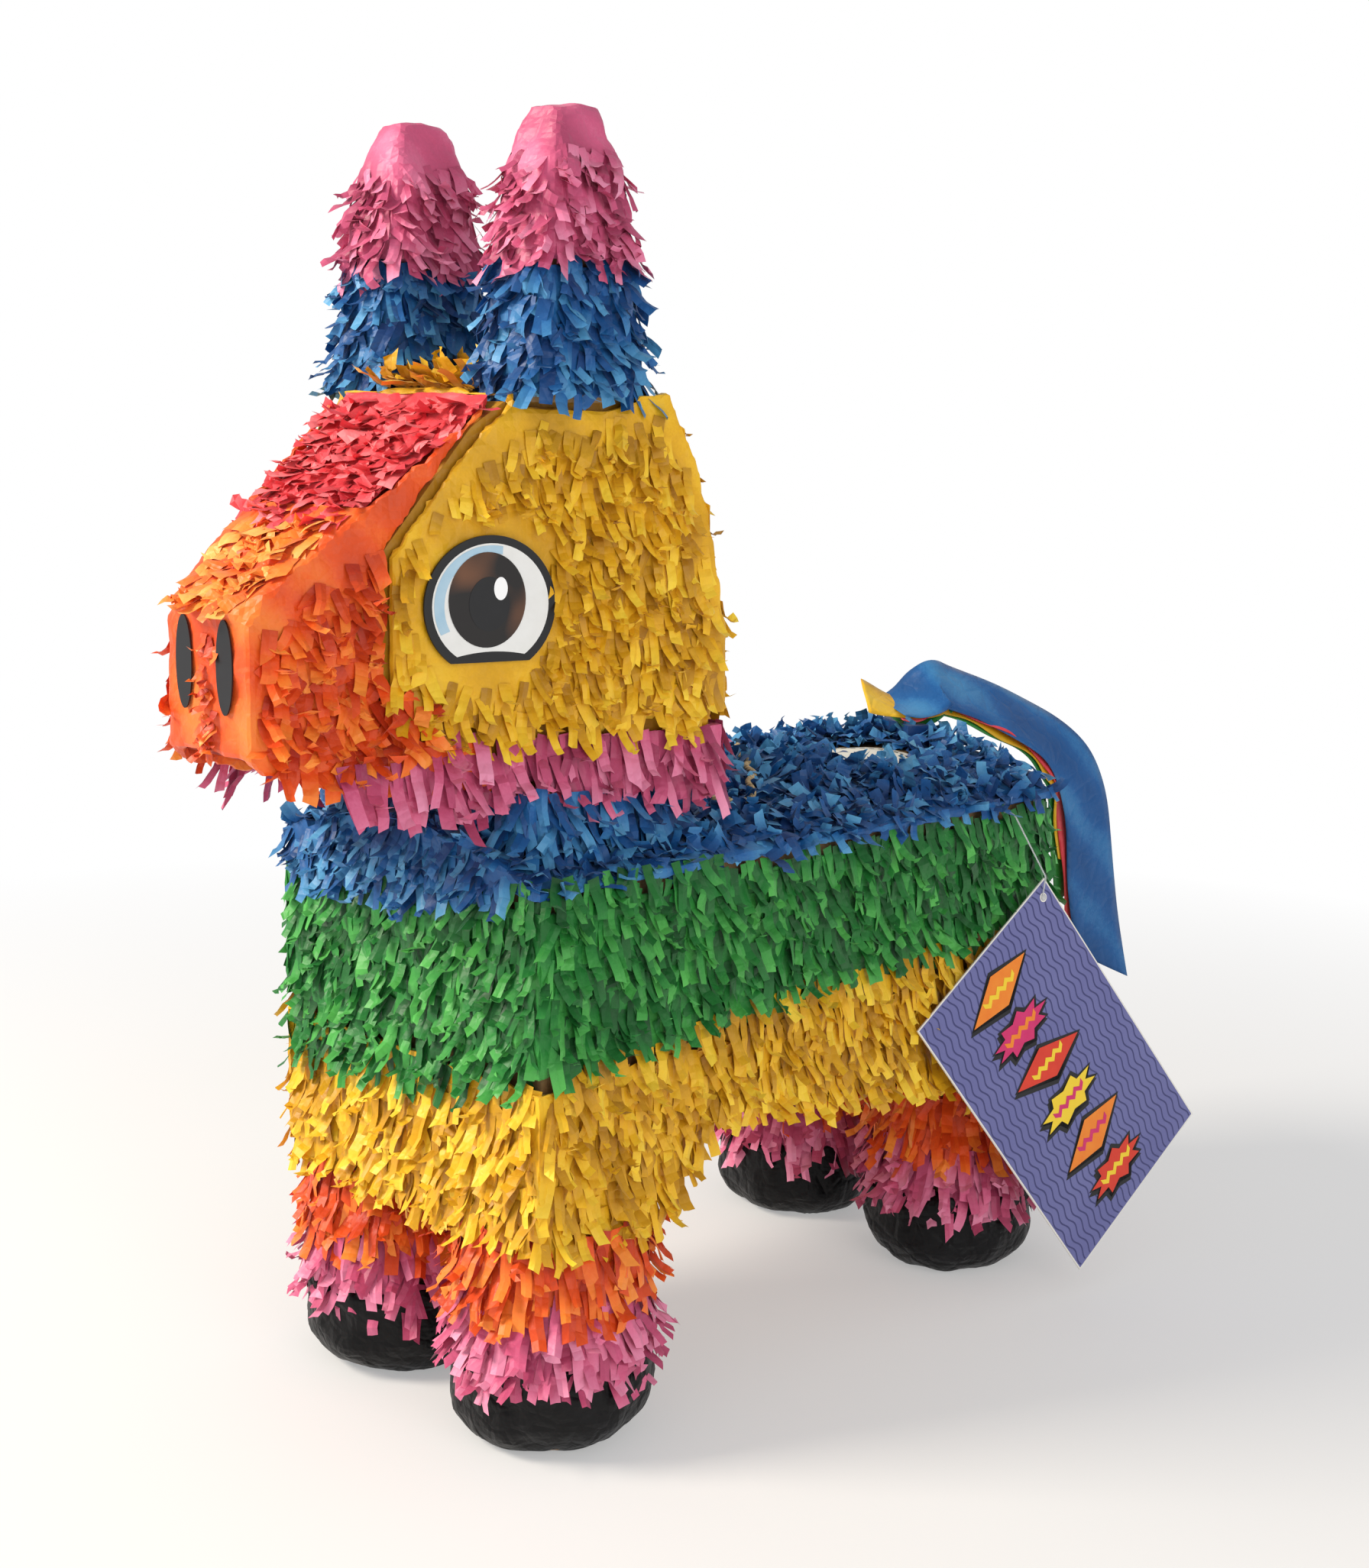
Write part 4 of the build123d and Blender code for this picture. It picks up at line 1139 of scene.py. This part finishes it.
twine_points = [twine_spot(x, y) for x, y in twine_plan]
twine_points.insert(0, twine_spot(*twine_first, twine_d / 2))
twine_points.append(twine_spot(*twine_last, twine_d / 2))
twine_points.insert(0, tuple(np.array([*twine_first, inside_end]) * mm))
twine_points.append(tuple(np.array([*twine_last, inside_end]) * mm))
line_data = bpy.data.curves.new("twine line", "CURVE")
line_data.dimensions = "3D"
spline = line_data.splines.new("NURBS")
spline.points.add(len(twine_points) - 1)
for point, spot in zip(spline.points, twine_points):
    point.co = (*spot, 1)
spline.order_u = 3
spline.use_endpoint_u = True
spline.resolution_u = 12
line_piece = in_scene("twine line", line_data)
bpy.context.view_layer.update()
track = vertex_spots(bpy.data.meshes.new_from_object(line_piece))
bpy.data.objects.remove(line_piece)

# %% Three strands laid round the line
strand_r, lay_r, pitch_m = 0.00080, 0.00068, 0.0085
strands, ring = 3, 7
walk = np.concatenate([[0], np.cumsum(np.linalg.norm(np.diff(track, axis=0), axis=1))])
every = np.linspace(0, walk[-1], 560)
centre = np.column_stack([np.interp(every, walk, track[:, k]) for k in range(3)])
for _ in range(2):
    centre[1:-1] = 0.25 * centre[:-2] + 0.5 * centre[1:-1] + 0.25 * centre[2:]
forward = unit(np.gradient(centre, axis=0))
aside = unit(np.cross(forward, np.array([0.31, 0.17, 0.93])))
above = np.cross(aside, forward)
points, faces, tones = [], [], []
for strand in range(strands):
    angle = every / pitch_m * 2 * pi + strand * 2 * pi / strands
    away = aside * np.cos(angle)[:, None] + above * np.sin(angle)[:, None]
    middle = centre + away * lay_r
    other = np.cross(forward, away)
    base = len(points)
    for number in range(len(every)):
        for k in range(ring):
            turn = 2 * pi * k / ring
            points.append(middle[number] + strand_r * (away[number] * cos(turn) + other[number] * sin(turn)))
            # Shade value: painted shade on each strand's inner side, where the strands press together,
            # lighter on its outer side, plus a slow wave along the strand.
            tones.append(0.35 + 0.3 * cos(turn) + 0.15 * sin(number * 0.9 + strand))
    for number in range(len(every) - 1):
        start = base + number * ring
        for k in range(ring):
            a, b = start + k, start + (k + 1) % ring
            faces.append((a, b, b + ring, a + ring))
jute = tissue_paper("jute twine", (120, 92, 52), (196, 168, 118), (232, 212, 172), crease=0.6)
twine_mesh = new_mesh("twine", [tuple(p) for p in points], faces, jute, smooth=True)
shade = twine_mesh.attributes.new("shade", "FLOAT", "POINT")
shade.data.foreach_set("value", np.array(tones, np.float32))
twine = in_scene("twine", twine_mesh)
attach(twine, "carcass")
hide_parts("hanging_loop")
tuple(twine_points[0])
print("twine", len(faces), "faces")

# %% [markdown]
# ## Light and floor
# A plain pale floor and a soft lamp ahead and to the donkey's right give the warm front and
# the quieter flank of a toy on a table by a window.


# %% Floor, world and lamps
def blend_into(tree, amount, first, second, output):
    """Mixes two shaders into an output node."""
    blend = add_node(tree, "MixShader")
    tree.links.new(amount, blend.inputs["Fac"])
    for socket, source in ((1, first), (2, second)):
        tree.links.new(source.outputs[0], blend.inputs[socket])
    tree.links.new(blend.outputs[0], output.inputs["Surface"])


reach = 6.0
floor_corners = [(-reach, -reach, 0), (reach, -reach, 0), (reach, reach, 0), (-reach, reach, 0)]
floor_material, floor_surface = shader("floor", roughness=0.9, specular=0.1)
floor_surface.inputs["Base Color"].default_value = (0.86, 0.85, 0.84, 1)
tree = floor_material.node_tree
far_off = add_node(tree, "VectorMath")
far_off.operation = "LENGTH"
tree.links.new(place(tree), far_off.inputs[0])
fade = maths(tree, "MAXIMUM", clamped(tree, maths(tree, "SUBTRACT", far_off.outputs["Value"], 0.1)), 0.35)
glow = add_node(tree, "Emission", Strength=1.0)
blend_into(tree, fade, floor_surface, glow, tree.nodes["Material Output"])
floor_piece = in_scene("floor", new_mesh("floor", floor_corners, [(0, 1, 2, 3)], floor_material))

world = bpy.data.worlds.new("world")
world.use_nodes = True
sky = world.node_tree
backdrop = sky.nodes["Background"]
backdrop.inputs["Color"].default_value = (1.0, 1.0, 1.0, 1)
backdrop.inputs["Strength"].default_value = 1.0
room = add_node(sky, "Background", Color=(0.96, 0.97, 1.0, 1), Strength=0.5)
seen = add_node(sky, "LightPath").outputs["Is Camera Ray"]
blend_into(sky, seen, room, backdrop, sky.nodes["World Output"])
bpy.context.scene.world = world


def lamp(name, power, size, at, aim, colour):
    """A square soft lamp that looks at a point."""
    data = bpy.data.lights.new(name, "AREA")
    data.energy = power
    data.size = size
    data.color = colour
    piece = in_scene(name, data)
    piece.location = at
    piece.rotation_euler = (Vector(aim) - Vector(at)).to_track_quat("-Z", "Y").to_euler()


lamp("key", 46, 0.7, (-0.9, -1.5, 1.35), (0, -0.05, 0.3), (1.0, 0.92, 0.80))
lamp("fill", 12, 1.4, (1.9, -0.6, 0.9), (0, 0, 0.25), (1.0, 0.98, 0.94))
